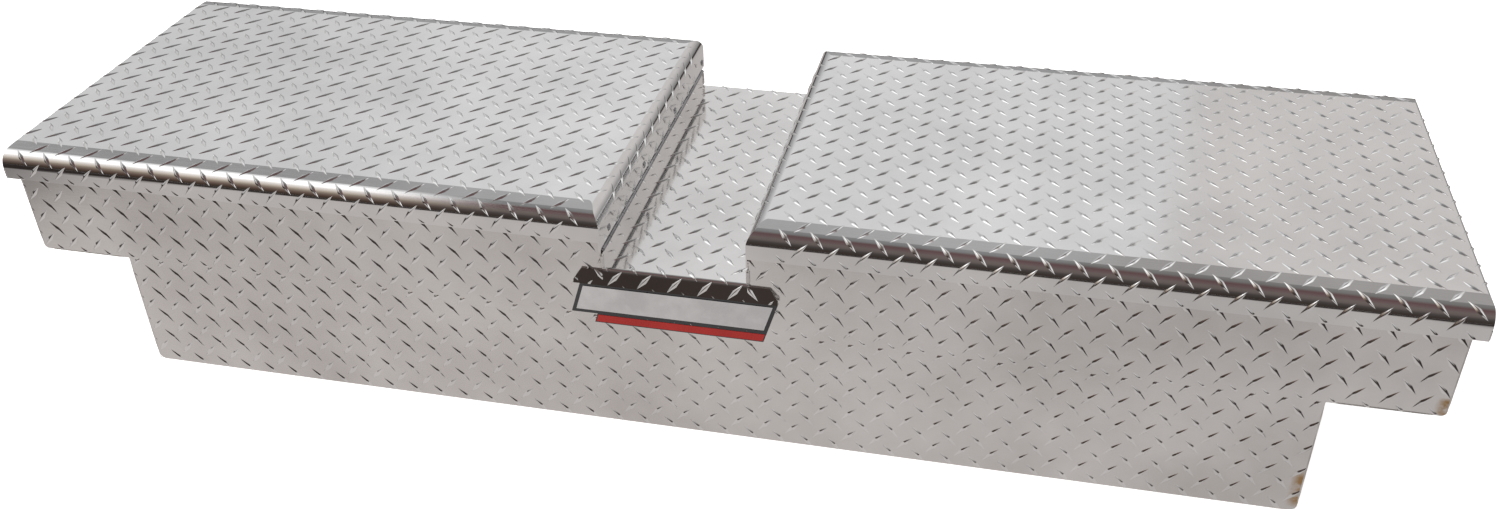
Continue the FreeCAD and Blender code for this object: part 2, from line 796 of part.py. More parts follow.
def stand_on_lean(piece):
    """Move a piece built upright at the origin onto the line between the strut's two studs."""
    # One degree only fixes the axis of the turn; the formula sets the real angle.
    turn = FreeCAD.Rotation(FreeCAD.Vector(0, -1, 0), 1)
    piece.Placement = FreeCAD.Placement(FreeCAD.Vector(), turn)
    lean = "atan(%s / %s)" % (STRUT_LEAN, STRUT_RISE)
    piece.setExpression("Placement.Rotation.Angle", dims(lean))
    piece.setExpression("Placement.Base.x", dims("-strut_low_x"))
    piece.setExpression("Placement.Base.y", dims("strut_line_y"))
    piece.setExpression("Placement.Base.z", dims("strut_low_z"))


def gas_struts():
    """Closed tube, piston rod and the brackets that hold them to the box and to the lid."""
    half = "strut_eye_wide / 2"
    inside_eye = "strut_eye_radius / 2"
    eye = rod("tube_eye", "Y", "0", "-" + half, "0", "strut_eye_radius", "strut_eye_wide")
    neck = rod("tube_neck", "Z", "0", "0", inside_eye, "strut_rod_radius",
               "tube_start + %s - %s" % (OVER, inside_eye))
    tube = rod("tube_wall", "Z", "0", "0", "tube_start", "strut_tube_radius", "tube_long")
    bore = rod("tube_bore", "Z", "0", "0", "tube_start + tube_foot", "strut_bore_radius",
               "tube_long - tube_foot - tube_head")
    gland = rod("tube_gland", "Z", "0", "0", "tube_start + tube_long - tube_head - " + OVER,
                "strut_rod_radius + pin_play", "tube_head + 2 * " + OVER)
    stud_hole = rod("tube_stud_hole", "Y", "0", "-%s - %s" % (half, OVER), "0",
                    "strut_stud_radius + pin_play", "strut_eye_wide + 2 * " + OVER)
    tools = fuse("tube_tools", [bore, gland, stud_hole])
    cylinder = cut("left_strut_cylinder", fuse("tube_blank", [eye, neck, tube]), tools)
    stand_on_lean(cylinder)
    keep(cylinder, "left_strut_cylinder")
    piston = rod("rod_piston", "Z", "0", "0", "piston_start", "strut_bore_radius - pin_play",
                 "piston_long")
    shaft = rod("rod_shaft", "Z", "0", "0", "piston_start + " + OVER, "strut_rod_radius",
                "%s - %s - piston_start - %s" % (STRUT_LONG, inside_eye, OVER))
    end = rod("rod_eye", "Y", "0", "-" + half, STRUT_LONG, "strut_eye_radius", "strut_eye_wide")
    shaft_set = fuse("left_strut_rod", [piston, shaft, end])
    stand_on_lean(shaft_set)
    keep(shaft_set, "left_strut_rod")
    wall = "body_depth / 2 - gauge"
    foot_face = wall + " - bracket_gauge"
    foot = box("strut_foot", "-strut_low_x - low_foot_wide / 2", "-strut_low_x + low_foot_wide / 2",
               foot_face, wall, "strut_low_z - low_foot_tall / 2", "strut_low_z + low_foot_tall / 2")
    stud_tip = "(strut_line_y - %s - stud_proud)" % half
    stud = rod("strut_stud", "Y", "-strut_low_x", stud_tip, "strut_low_z",
               "strut_stud_radius", "%s - %s" % (foot_face, stud_tip))
    collar_face = "(strut_line_y + %s + collar_gap)" % half
    collar = rod("strut_collar", "Y", "-strut_low_x", collar_face, "strut_low_z",
                 "strut_eye_radius", "%s - %s" % (foot_face, collar_face))
    bracket = keep(fuse("left_strut_body_bracket", [foot, stud, collar]),
                   "left_strut_body_bracket")
    under = "overall_height - gauge"
    top_foot = box("strut_top_foot", "-strut_high_x - top_foot_wide / 2",
                   "-strut_high_x + top_foot_wide / 2", "strut_line_y - top_foot_back",
                   "strut_line_y + hanger_far", under + " - bracket_gauge", under)
    hanger = box("strut_hanger", "-strut_high_x - hanger_wide / 2",
                 "-strut_high_x + hanger_wide / 2", "strut_line_y + hanger_near",
                 "strut_line_y + hanger_far", "strut_high_z - hanger_wide / 2", under)
    top_stud = rod("strut_top_stud", "Y", "-strut_high_x",
                   "strut_line_y + %s + top_stud_gap" % half, "strut_high_z",
                   "strut_stud_radius", "hanger_near - %s - top_stud_gap + %s" % (half, OVER))
    lid_bracket = keep(fuse("left_strut_lid_bracket", [top_foot, hanger, top_stud]),
                       "left_strut_lid_bracket")
    mirrored("right_strut_cylinder", cylinder)
    mirrored("right_strut_rod", shaft_set)
    mirrored("right_strut_body_bracket", bracket)
    mirrored("right_strut_lid_bracket", lid_bracket)


# ---- paddle latches --------------------------------------------------------------------

WALL = "-wing_length / 2"
PADDLE_X = "(%s + paddle_pin_depth)" % WALL
PADDLE_Z = "(latch_mid_height + dish_tall / 2 - dish_gauge - paddle_pin_drop)"
LOCK_Z = "(latch_mid_height - lock_drop)"
LEVER_Z = "(hook_z - lever_drop)"
STRIKER_Z = "(hook_z + striker_rise)"


def latch_dish():
    """Stainless tray let into the end wall, with a flat rim outside."""
    node = "left_latch_dish"
    body = new_body(node)
    mid = "latch_mid_height"
    rim = outlines(body, "dish_rim_outline", "YZ_Plane", WALL + " - dish_gauge",
                   [rectangle("-dish_wide / 2 - dish_rim", "dish_wide / 2 + dish_rim",
                              mid + " - dish_tall / 2 - dish_rim",
                              mid + " + dish_tall / 2 + dish_rim")])
    pad(body, rim, "dish_gauge")
    ys = ("-dish_wide / 2 - dish_rim", "dish_wide / 2 + dish_rim")
    zs = (mid + " - dish_tall / 2 - dish_rim", mid + " + dish_tall / 2 + dish_rim")
    rounded(body, "rim_corner", 0, [(y, z) for y in ys for z in zs], "dish_rim")
    tray_wide = "(dish_wide / 2 - dish_play)"
    tray_tall = "(dish_tall / 2 - dish_play)"
    tray = outlines(body, "dish_tray_outline", "YZ_Plane", WALL,
                    [rectangle("-" + tray_wide, tray_wide,
                               "%s - %s" % (mid, tray_tall), "%s + %s" % (mid, tray_tall))])
    pad(body, tray, "dish_deep")
    wide = "(dish_wide / 2 - dish_gauge)"
    tall = "(dish_tall / 2 - dish_gauge)"
    well = outlines(body, "dish_well_outline", "YZ_Plane", "%s - %s" % (WALL, LEAD),
                    [rectangle("-" + wide, wide, "%s - %s" % (mid, tall), "%s + %s" % (mid, tall))])
    hollow = pocket(body, well, LEAD + " + dish_deep - dish_gauge")
    hollow.Reversed = True
    doc.recompute()
    keep(body, node)
    mirrored("right_latch_dish", body)


def latch_paddle():
    """Pull handle hung from a pin across the top of the dish, with a finger lip below."""
    wide = "(dish_wide / 2 - dish_gauge - paddle_side_gap)"
    low = "(latch_mid_height - dish_tall / 2 + dish_gauge + paddle_foot_gap)"
    face = "(%s + paddle_recess)" % WALL
    plate = box("paddle_plate", face, face + " + paddle_gauge", "-" + wide, wide, low, PADDLE_Z)
    lip = box("paddle_finger_lip", face, face + " + paddle_lip", "-" + wide, wide,
              low, low + " + paddle_gauge")
    barrel = rod("paddle_barrel", "Y", PADDLE_X, "-" + wide, PADDLE_Z, "paddle_barrel_radius",
                 "2 * " + wide)
    bridge = box("paddle_bridge", face, PADDLE_X, "-" + wide, wide,
                 PADDLE_Z + " - paddle_bridge_tall", PADDLE_Z)
    bore = rod("paddle_bore", "Y", PADDLE_X, "-dish_wide", PADDLE_Z,
               "paddle_pin_radius + pin_play", "2 * dish_wide")
    lock_hole = rod("paddle_lock_hole", "X", "%s - %s" % (face, OVER), "0", LOCK_Z,
                    "lock_radius + pin_play", "paddle_lip + 2 * " + OVER)
    solid = fuse("paddle_blank", [plate, lip, barrel, bridge])
    paddle = cut("left_latch_paddle", solid, fuse("paddle_tools", [bore, lock_hole]))
    keep(paddle, "left_latch_paddle")
    barrel_lock = rod("lock_barrel", "X", WALL + " + lock_recess", "0", LOCK_Z, "lock_radius",
                      "lock_long")
    key_slot = box("key_slot", WALL, WALL + " + key_deep", "-key_wide / 2", "key_wide / 2",
                   LOCK_Z + " - key_tall / 2", LOCK_Z + " + key_tall / 2")
    lock = keep(cut("left_lock_cylinder", barrel_lock, key_slot), "left_lock_cylinder")
    mirrored("right_latch_paddle", paddle)
    mirrored("right_lock_cylinder", lock)


def latch_frame():
    """Bracket behind the dish whose two cheeks carry the hook and the release lever."""
    back = "(%s + dish_deep)" % WALL
    side = "carrier_wide / 2"
    base = box("carrier_base", back, back + " + carrier_gauge", "-" + side, side,
               "hook_z - carrier_low", "hook_z + carrier_high")
    cheeks = []
    for i, low in enumerate(("-cheek_gap / 2 - cheek_gauge", "cheek_gap / 2")):
        cheeks.append(box("carrier_cheek_%d" % i, back + " + carrier_gauge",
                          "-hook_x + cheek_reach", low, low + " + cheek_gauge",
                          "hook_z - carrier_low", "hook_z + cheek_high"))
    holes = [
        rod("carrier_hook_hole", "Y", "-hook_x", "-" + side, "hook_z",
            "hook_pin_radius + press_play", "carrier_wide"),
        rod("carrier_lever_hole", "Y", "-hook_x", "-" + side, LEVER_Z,
            "lever_pin_radius + press_play", "carrier_wide"),
    ]
    frame = cut("left_latch_frame", fuse("carrier_solid", [base] + cheeks),
                fuse("carrier_holes", holes))
    keep(frame, "left_latch_frame")
    pin_end = "(cheek_gap / 2 + cheek_gauge + pin_stub)"
    pins = group("left_latch_pins", [
        rod("paddle_pin", "Y", PADDLE_X, "-dish_wide / 2 + dish_gauge", PADDLE_Z,
            "paddle_pin_radius", "dish_wide - 2 * dish_gauge"),
        rod("hook_pin", "Y", "-hook_x", "-" + pin_end, "hook_z", "hook_pin_radius",
            "2 * " + pin_end),
        rod("lever_pin", "Y", "-hook_x", "-" + pin_end, LEVER_Z, "lever_pin_radius",
            "2 * " + pin_end),
    ])
    keep(pins, "left_latch_pins")
    mirrored("right_latch_frame", frame)
    mirrored("right_latch_pins", pins)


# The hook's outline in degrees about its pivot: its tip, the end of its throat, its heel
# and the two corners where the arm meets the hub.
HOOK_TIP = 50
HOOK_THROAT = -10
HOOK_HEEL = -25
HOOK_ARM = (-5, -30)


def polar(radius, degrees):
    """A sketch point on a circle about the hook's pivot."""
    x = "-hook_x + (%s) * cos(%s deg)" % (radius, degrees)
    z = "hook_z + (%s) * sin(%s deg)" % (radius, degrees)
    return x, z


def latch_hook():
    """Hook that swings over the striker bar; drawn in its released position."""
    body = new_body("left_latch_hook")
    inner = "striker_rise + striker_radius + hook_play"
    outer = "striker_rise + striker_radius + hook_rim"
    bow = [polar(inner, HOOK_TIP - step) for step in range(0, HOOK_TIP - HOOK_THROAT + 1, 6)]
    rim = [polar(outer, HOOK_HEEL + step) for step in range(0, HOOK_TIP - HOOK_HEEL + 1, 5)]
    arm = [polar("hook_arm_radius", step) for step in HOOK_ARM]
    shape = outlines(body, "hook_outline", "XZ_Plane", "0", [bow + arm + rim])
    pad(body, shape, "hook_gauge", middle=True)
    hub = outlines(body, "hook_hub", "XZ_Plane", "0", [], [("-hook_x", "hook_z", "hook_hub_radius")])
    pad(body, hub, "hook_gauge", middle=True)
    bore = outlines(body, "hook_bore", "XZ_Plane", "0", [],
                    [("-hook_x", "hook_z", "hook_pin_radius + pin_play")])
    pocket(body, bore, THROUGH, middle=True)
    hook = keep(body, "left_latch_hook")
    side = "hook_gauge / 2"
    half = "lever_wide / 2"
    hub_low = rod("lever_hub", "Y", "-hook_x", "-" + side, LEVER_Z, "lever_hub_radius", "hook_gauge")
    finger = box("lever_finger", "-hook_x - " + half, "-hook_x + " + half, "-" + side, side,
                 LEVER_Z, "hook_z - lever_finger_gap")
    tail = box("lever_tail_bar", "-hook_x - lever_tail", "-hook_x", "-" + side, side,
               "%s - %s" % (LEVER_Z, half), "%s + %s" % (LEVER_Z, half))
    eye = rod("lever_eye", "Y", "-hook_x", "-" + LEAD, LEVER_Z, "lever_pin_radius + pin_play",
              THROUGH)
    lever = keep(cut("left_release_lever", fuse("lever_blank", [hub_low, finger, tail]), eye),
                 "left_release_lever")
    mirrored("right_latch_hook", hook)
    mirrored("right_release_lever", lever)


def striker():
    """Bar on two legs under the lid's outer end, caught by the hook."""
    under = "overall_height - gauge"
    half = "striker_wide / 2"
    foot = box("striker_foot", "-hook_x - " + half, "-hook_x + " + half,
               "-striker_foot_long / 2", "striker_foot_long / 2", under + " - bracket_gauge", under)
    legs = []
    for i, low in enumerate(("-" + half, half + " - striker_leg_gauge")):
        legs.append(box("striker_leg_%d" % i, "-hook_x - striker_radius",
                        "-hook_x + striker_radius", low, low + " + striker_leg_gauge",
                        STRIKER_Z, under))
    bar = rod("striker_bar", "Y", "-hook_x", "-" + half, STRIKER_Z, "striker_radius",
              "striker_wide")
    whole = keep(fuse("left_striker", [foot, bar] + legs), "left_striker")
    mirrored("right_striker", whole)


# ---- nameplate -------------------------------------------------------------------------

def leaning(left, right, base, z_low, z_high):
    """A slanted block's corners; left and right are its ends where its slope meets base."""
    low_shift = "plate_lean * (%s - (%s))" % (z_low, base)
    high_shift = "plate_lean * (%s - (%s))" % (z_high, base)
    return [
        ("%s + %s" % (left, low_shift), z_low), ("%s + %s" % (right, low_shift), z_low),
        ("%s + %s" % (right, high_shift), z_high), ("%s + %s" % (left, high_shift), z_high),
    ]


def plate_layer(node, corners, offset, thick):
    body = new_body(node)
    pad(body, outlines(body, node + "_outline", "XZ_Plane", offset, [corners]), thick)
    return keep(body, node)


def nameplate():
    """Plain slanted plate on the front: dark field, bare bright bar, coloured foot stripe."""
    foot_top = "(plate_low + plate_step)"
    top = "(plate_low + plate_tall)"
    field = leaning("-plate_left - plate_lean * plate_step", "plate_right", "plate_low",
                    foot_top, top)
    foot = leaning("-plate_foot_left", "plate_right", "plate_low", "plate_low", foot_top)
    outline = foot[:2] + field[1:] + field[:1] + foot[3:]
    plate_layer("nameplate", outline, "body_depth / 2", "plate_gauge")
    face = "body_depth / 2 + plate_gauge"
    bar = leaning("-plate_left - plate_lean * plate_step + plate_border",
                  "plate_right - plate_border", "plate_low",
                  foot_top + " + plate_border", top + " - plate_border")
    plate_layer("nameplate_bar", bar, face, "plate_bar_gauge")
    stripe = leaning("-plate_foot_left + plate_foot_border", "plate_right - plate_foot_border",
                     "plate_low", "plate_low + plate_foot_border",
                     foot_top + " - plate_foot_border")
    plate_layer("nameplate_stripe", stripe, face, "plate_stripe_gauge")


# ---- build everything --------------------------------------------------------------------

FRONT = "body_depth / 2 - gauge"
BACK = "-body_depth / 2"

tub_wall("tub_front_panel", FRONT)
tub_wall("tub_back_panel", BACK)
tub_floor()
end_cap()
upper_wall("front_upper_panel", FRONT)
upper_wall("back_upper_panel", BACK)
seam_strip("front_seam_strip", "-body_depth / 2 + gauge")
seam_strip("back_seam_strip", "body_depth / 2 - gauge - strip_gauge")
centre_bridge()
bridge_brace()
opening_frame()
weather_seal()
lid_skin()
lid_stiffeners()
hinges()
gas_struts()
latch_dish()
latch_paddle()
latch_frame()
latch_hook()
striker()
nameplate()

doc.recompute()

for obj in doc.Objects:
    if "Invalid" in obj.State or "Error" in obj.State:
        raise RuntimeError("%s did not build: %s" % (obj.Name, obj.State))

os.makedirs("parts", exist_ok=True)
for node, obj in sorted(NODES.items()):
    shape = obj.Shape
    if shape.isNull() or not shape.isValid() or not shape.Solids:
        raise RuntimeError("%s has no valid solid" % node)
    shape.exportStep("parts/%s.step" % node)
    print("%-28s solids %2d  volume %10.1f" % (node, len(shape.Solids), shape.Volume))
print("nodes", len(NODES))
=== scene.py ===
import json
import math

import bpy
import numpy as np
from mathutils import Matrix, Vector


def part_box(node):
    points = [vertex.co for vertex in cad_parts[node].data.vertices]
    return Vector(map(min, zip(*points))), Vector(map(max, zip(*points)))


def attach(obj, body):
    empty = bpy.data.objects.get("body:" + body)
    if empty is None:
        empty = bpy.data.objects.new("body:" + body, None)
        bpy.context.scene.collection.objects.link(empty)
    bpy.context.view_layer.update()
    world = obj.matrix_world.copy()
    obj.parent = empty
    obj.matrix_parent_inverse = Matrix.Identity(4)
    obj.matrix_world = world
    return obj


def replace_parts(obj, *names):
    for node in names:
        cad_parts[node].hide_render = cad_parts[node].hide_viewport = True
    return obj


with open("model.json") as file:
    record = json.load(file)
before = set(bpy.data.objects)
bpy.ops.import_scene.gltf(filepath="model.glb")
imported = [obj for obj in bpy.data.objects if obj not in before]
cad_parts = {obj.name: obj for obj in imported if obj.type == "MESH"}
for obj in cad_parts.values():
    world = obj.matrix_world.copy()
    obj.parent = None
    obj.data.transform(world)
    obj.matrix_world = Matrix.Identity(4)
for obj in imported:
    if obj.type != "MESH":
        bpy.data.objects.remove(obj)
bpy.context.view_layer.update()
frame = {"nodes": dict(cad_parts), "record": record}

# Gull-wing truck tool box in aluminium tread plate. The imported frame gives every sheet, hinge,
# strut and latch. This script adds the raised lugs, the welds and the soft seals, gives every
# piece its finish, and sets the stage. Lengths are in metres.

MM = 0.001

# ---- places read from the frame ----------------------------------------------------------


def low(node):
    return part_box(node)[0]


def high(node):
    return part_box(node)[1]


LID_END = high("right_lid_skin").x
LID_INNER = low("right_lid_skin").x
LID_SIDE = high("right_lid_skin").y
LID_TOP = high("right_lid_skin").z
FLANGE_LOW = low("right_lid_skin").z
WING_END = high("front_upper_panel").x
WALL_TOP = high("front_upper_panel").z
SEAM = low("front_upper_panel").z
TUB_END = high("tub_front_panel").x
WALL_SIDE = high("back_upper_panel").y
DECK_FLANGE_LOW = low("centre_bridge").z
DECK_FLANGE_OUT = high("centre_bridge").y
EAR_END = high("centre_bridge").x

# sheet-metal shapes that the boxes don't give
SHEET_THICK = 1.6 * MM
LID_SKIRT = 38 * MM
SKIRT_LOW = LID_TOP - LID_SKIRT
SLOPE_RUN = 33 * MM
SLOPE_DROP = 6 * MM
SLOPE_BEND = 2 * MM
LID_FRONT_BEND = 20 * MM
LID_END_BEND = 5 * MM
LID_INNER_BEND = 21 * MM
WING_BEND = 6 * MM
TUB_BEND = 9 * MM
STEP_BEND = 4 * MM
DECK_FLANGE_TALL = 21.5 * MM
DECK = DECK_FLANGE_LOW + DECK_FLANGE_TALL
DECK_BEND = 5 * MM
DECK_OUT = WALL_SIDE + SHEET_THICK
NOTCH_FOOT = DECK - DECK_BEND
# the flange's ears: how far under the deck they start, and the width and height cut off the corner
EAR_DROP = 2 * MM
EAR_CORNER = (10 * MM, 15.4 * MM)
# the nameplate: its ends' sideways lean for each height, and the shorter foot under it
PLATE_LEAN = 0.32
PLATE_STEP = 13 * MM
PLATE_FOOT_INSET = 29 * MM
FIXING_AT = (810 * MM, 150 * MM)
FIXING_HOLES = [(x * FIXING_AT[0], y * FIXING_AT[1]) for x in (-1, 1) for y in (-1, 1)]
FIXING_CLEAR = 14 * MM

# ---- bent sheets ---------------------------------------------------------------------------

BEND_STEPS = 10


class Profile:
    """A bent line in a vertical plane, measured along its own length.

    The length is counted so that it equals the first coordinate where corner number flat ends."""

    def __init__(self, corners, bends, flat=0):
        corners = [np.array(c, float) for c in corners]
        points, tangents, exits = [corners[0]], [self.heading(corners[0], corners[1])], {0: 0}
        for i in range(1, len(corners) - 1):
            radius = bends[i - 1]
            before = self.heading(corners[i - 1], corners[i])
            after = self.heading(corners[i], corners[i + 1])
            turn = math.acos(max(-1.0, min(1.0, float(before @ after))))
            sign = 1 if before[0] * after[1] - before[1] * after[0] > 0 else -1
            centre_way = np.array([-before[1], before[0]]) * sign
            start = corners[i] - before * radius * math.tan(turn / 2)
            for k in range(BEND_STEPS + 1):
                angle = turn * k / BEND_STEPS
                spot = start + before * radius * math.sin(angle)
                spot = spot + centre_way * radius * (1 - math.cos(angle))
                points.append(spot)
                tangents.append(before * math.cos(angle) + centre_way * math.sin(angle))
            exits[i] = len(points) - 1
        points.append(corners[-1])
        tangents.append(self.heading(corners[-2], corners[-1]))
        self.points, self.tangents = np.array(points), np.array(tangents)
        gaps = np.linalg.norm(np.diff(self.points, axis=0), axis=1)
        self.length = np.concatenate([[0.0], np.cumsum(np.maximum(gaps, 1e-9))])
        self.count_from(self.points[exits[flat]][0] - self.length[exits[flat]] + self.length[0])

    def count_from(self, start):
        """Shift the length so that the line starts at this value."""
        self.length += start - self.length[0]
        self.start, self.end = self.length[0], self.length[-1]
        return self

    @staticmethod
    def heading(a, b):
        return (b - a) / np.linalg.norm(b - a)

    def at(self, where):
        spot = [np.interp(where, self.length, self.points[:, i]) for i in (0, 1)]
        way = [np.interp(where, self.length, self.tangents[:, i]) for i in (0, 1)]
        return spot[0], spot[1], way[0], way[1]


class Sheet:
    """A sheet bent along x by one profile and along y by another, from a base height."""

    def __init__(self, along_x, along_y, base):
        self.along_x, self.along_y, self.base = along_x, along_y, base

    def place(self, s, t, rise):
        x, z_x, dx, dz_x = self.along_x.at(s)
        y, z_y, dy, dz_y = self.along_y.at(t)
        normal = np.stack([-dz_x * dy, -dx * dz_y, dx * dy], axis=-1)
        normal /= np.maximum(np.linalg.norm(normal, axis=-1, keepdims=True), 1e-9)
        spot = np.stack([x, y, z_x + z_y - self.base], axis=-1)
        return spot + normal * rise[..., None]


# ---- raised lugs -----------------------------------------------------------------------------

LUG_LONG = 29 * MM
LUG_WIDE = 6.6 * MM
LUG_HIGH = 1.9 * MM
LUG_SUNK = 0.15 * MM
LUG_TILT = 48
LUG_STATIONS = 11
LUG_ACROSS = (-1, -0.45, -0.1, 0.1, 0.45, 1)
LUG_LANES = len(LUG_ACROSS)
# how far a lug strays from its place, and by how many degrees
LUG_STRAY = 0.15 * MM
LUG_TURN = 0.9
# where a sheet's edge cuts a lug, its top comes down over this length
CUT_SLOPE = 1.2 * MM
# twice the area in square metres under which a cut face is dropped
LEAST_FACE = 2e-9
random = np.random.default_rng(11)


def lug_grid():
    """Length, width and height of one lug: a four-pointed sliver with a sharp ridge."""
    even = np.linspace(-1, 1, LUG_STATIONS)
    # the last stations stop just short of the points, where a face would have no area
    u = np.sign(even) * np.abs(even) ** 1.15 * 0.985
    u, w = np.meshgrid(u, np.array(LUG_ACROSS), indexing="ij")
    taper = 1 - np.abs(u)
    wide = w * taper ** 0.85 * LUG_WIDE / 2
    tall = LUG_HIGH * taper ** 0.5 * (1 - np.abs(w)) - LUG_SUNK
    return u * LUG_LONG / 2, wide, tall


def lug_centres(sheet, first, pitch):
    """Both sets of lugs on the developed sheet: one leans left, one right, at square centres."""
    spans = [(sheet.along_x.start, sheet.along_x.end), (sheet.along_y.start, sheet.along_y.end)]
    counts = [
        range(math.floor((a - f) / p) - 1, math.ceil((b - f) / p) + 2)
        for (a, b), f, p in zip(spans, first, pitch)
    ]
    rows = []
    for shift, lean in ((0.0, -LUG_TILT), (0.5, LUG_TILT)):
        for i in counts[0]:
            for j in counts[1]:
                rows.append((first[0] + (i + shift) * pitch[0], first[1] + (j + shift) * pitch[1], lean))
    return np.array(rows)


def placed(name, data):
    """Put a mesh, a light or a camera into the scene."""
    obj = bpy.data.objects.new(name, data)
    bpy.context.scene.collection.objects.link(obj)
    return obj


def quad_mesh(name, points, faces):
    """A smooth mesh of many four-sided faces, without the points that no face uses."""
    used, faces = np.unique(faces, return_inverse=True)
    faces = faces.reshape(-1, 4)
    mesh = bpy.data.meshes.new(name)
    mesh.vertices.add(len(used))
    mesh.vertices.foreach_set("co", points[used].astype(np.float32).ravel())
    mesh.loops.add(faces.size)
    mesh.loops.foreach_set("vertex_index", faces.astype(np.int32).ravel())
    mesh.polygons.add(len(faces))
    mesh.polygons.foreach_set("loop_start", np.arange(0, faces.size, 4, dtype=np.int32))
    mesh.polygons.foreach_set("use_smooth", np.full(len(faces), True))
    mesh.update()
    mesh.validate()
    return placed(name, mesh)


def smooth_mesh(name, points, faces, finish):
    mesh = bpy.data.meshes.new(name)
    mesh.from_pydata(points, [], faces)
    for polygon in mesh.polygons:
        polygon.use_smooth = True
    mesh.materials.append(finish)
    return placed(name, mesh)


def lug_field(name, body, sheet, first, pitch, limits=(), windows=(), bare=None):
    """All the lugs of one sheet as one piece.

    limits are half-planes (a, b, c) that keep a*s + b*t <= c, windows are cut-out blocks
    (s low, s high, t low, t high, lean) whose ends lean by that much s for each t, and
    bare(s, t) is true where the sheet carries no lug."""
    u, w, tall = lug_grid()
    centres = lug_centres(sheet, first, pitch)
    centres[:, :2] += random.normal(0, LUG_STRAY, (len(centres), 2))
    lean = np.radians(centres[:, 2] + random.normal(0, LUG_TURN, len(centres)))[:, None, None]
    s = centres[:, 0, None, None] + u * np.cos(lean) - w * np.sin(lean)
    t = centres[:, 1, None, None] + u * np.sin(lean) + w * np.cos(lean)
    tall = np.broadcast_to(tall, s.shape).copy()
    edges = list(limits) + [
        (1, 0, sheet.along_x.end), (-1, 0, -sheet.along_x.start),
        (0, 1, sheet.along_y.end), (0, -1, -sheet.along_y.start),
    ]
    inside = np.ones(len(s), bool)
    for a, b, c in edges:
        size = math.hypot(a, b)
        room = (c - a * s - b * t) / size
        over = np.minimum(room, 0)
        s, t = s + over * a / size, t + over * b / size
        share = np.clip(room / CUT_SLOPE, 0, 1)
        tall = tall * share - LUG_SUNK * (1 - share)
        inside &= (room > 0).any(axis=(1, 2))
    if bare is not None:
        inside &= ~bare(s, t).any(axis=(1, 2))
    s, t, tall = s[inside], t[inside], tall[inside]
    step = LUG_STATIONS * LUG_LANES
    i, j = np.meshgrid(np.arange(LUG_STATIONS - 1), np.arange(LUG_LANES - 1), indexing="ij")
    corner = (i * LUG_LANES + j).ravel()
    quad = np.stack([corner, corner + LUG_LANES, corner + LUG_LANES + 1, corner + 1], axis=1)
    faces = (quad[None] + np.arange(len(s))[:, None, None] * step).reshape(-1, 4)
    flat_s, flat_t = s.ravel()[faces], t.ravel()[faces]
    one = np.stack([flat_s[:, 2] - flat_s[:, 0], flat_t[:, 2] - flat_t[:, 0]], 1)
    two = np.stack([flat_s[:, 3] - flat_s[:, 1], flat_t[:, 3] - flat_t[:, 1]], 1)
    keep = np.abs(one[:, 0] * two[:, 1] - one[:, 1] * two[:, 0]) > LEAST_FACE
    for s_low, s_high, t_low, t_high, slant in windows:
        straight = flat_s - slant * (flat_t - t_low)
        within = (straight > s_low) & (straight < s_high) & (flat_t > t_low) & (flat_t < t_high)
        keep &= ~within.all(axis=1)
    points = sheet.place(s, t, tall).reshape(-1, 3)
    obj = quad_mesh(name, points, faces[keep])
    obj.data.materials.append(LUG_METAL)
    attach(obj, body)
    return obj


# ---- node helpers ------------------------------------------------------------------------------


def material(name):
    made = bpy.data.materials.new(name)
    made.use_nodes = True
    return made, made.node_tree, made.node_tree.nodes["Principled BSDF"]


def add(tree, kind, **settings):
    made = tree.nodes.new(kind)
    for key, value in settings.items():
        setattr(made, key, value)
    return made


def position(tree, stretch=(1, 1, 1), turn=(0, 0, 0)):
    """Place on the object in metres, stretched and turned for a grain."""
    coords = add(tree, "ShaderNodeTexCoord")
    mapping = add(tree, "ShaderNodeMapping")
    mapping.inputs["Scale"].default_value = stretch
    mapping.inputs["Rotation"].default_value = turn
    tree.links.new(coords.outputs["Object"], mapping.inputs["Vector"])
    return mapping.outputs["Vector"]


def noise(tree, vector, scale, detail=3.0, rough=0.5):
    made = add(tree, "ShaderNodeTexNoise")
    made.inputs["Scale"].default_value = scale
    made.inputs["Detail"].default_value = detail
    made.inputs["Roughness"].default_value = rough
    tree.links.new(vector, made.inputs["Vector"])
    return made.outputs["Fac"]


def ramp(tree, value, stops):
    made = add(tree, "ShaderNodeValToRGB")
    elements = made.color_ramp.elements
    while len(elements) < len(stops):
        elements.new(0.5)
    for element, (place, colour) in zip(elements, stops):
        element.position = place
        element.color = (*colour, 1)
    tree.links.new(value, made.inputs["Fac"])
    return made.outputs["Color"]


def map_range(tree, value, inputs, outputs):
    """Map one range of values onto another, and hold the ends."""
    made = add(tree, "ShaderNodeMapRange")
    for slot, number in zip(("From Min", "From Max", "To Min", "To Max"), (*inputs, *outputs)):
        made.inputs[slot].default_value = number
    tree.links.new(value, made.inputs["Value"])
    return made.outputs["Result"]


def spread(tree, value, low_value, high_value):
    """Map the middle of a noise onto a range of values."""
    return map_range(tree, value, (0.3, 0.7), (low_value, high_value))


def bump(tree, value, distance, under=None):
    made = add(tree, "ShaderNodeBump")
    made.inputs["Distance"].default_value = distance
    made.inputs["Strength"].default_value = 1.0
    tree.links.new(value, made.inputs["Height"])
    if under is not None:
        tree.links.new(under, made.inputs["Normal"])
    return made.outputs["Normal"]


def split(tree, vector):
    """The x, y and z of a vector."""
    made = add(tree, "ShaderNodeSeparateXYZ")
    tree.links.new(vector, made.inputs["Vector"])
    return [made.outputs[axis] for axis in "XYZ"]


def calculate(tree, operation, *values):
    """One Math node; each value is a number or another node's output."""
    made = add(tree, "ShaderNodeMath", operation=operation)
    for slot, value in enumerate(values):
        if isinstance(value, (int, float)):
            made.inputs[slot].default_value = value
        else:
            tree.links.new(value, made.inputs[slot])
    return made.outputs[0]


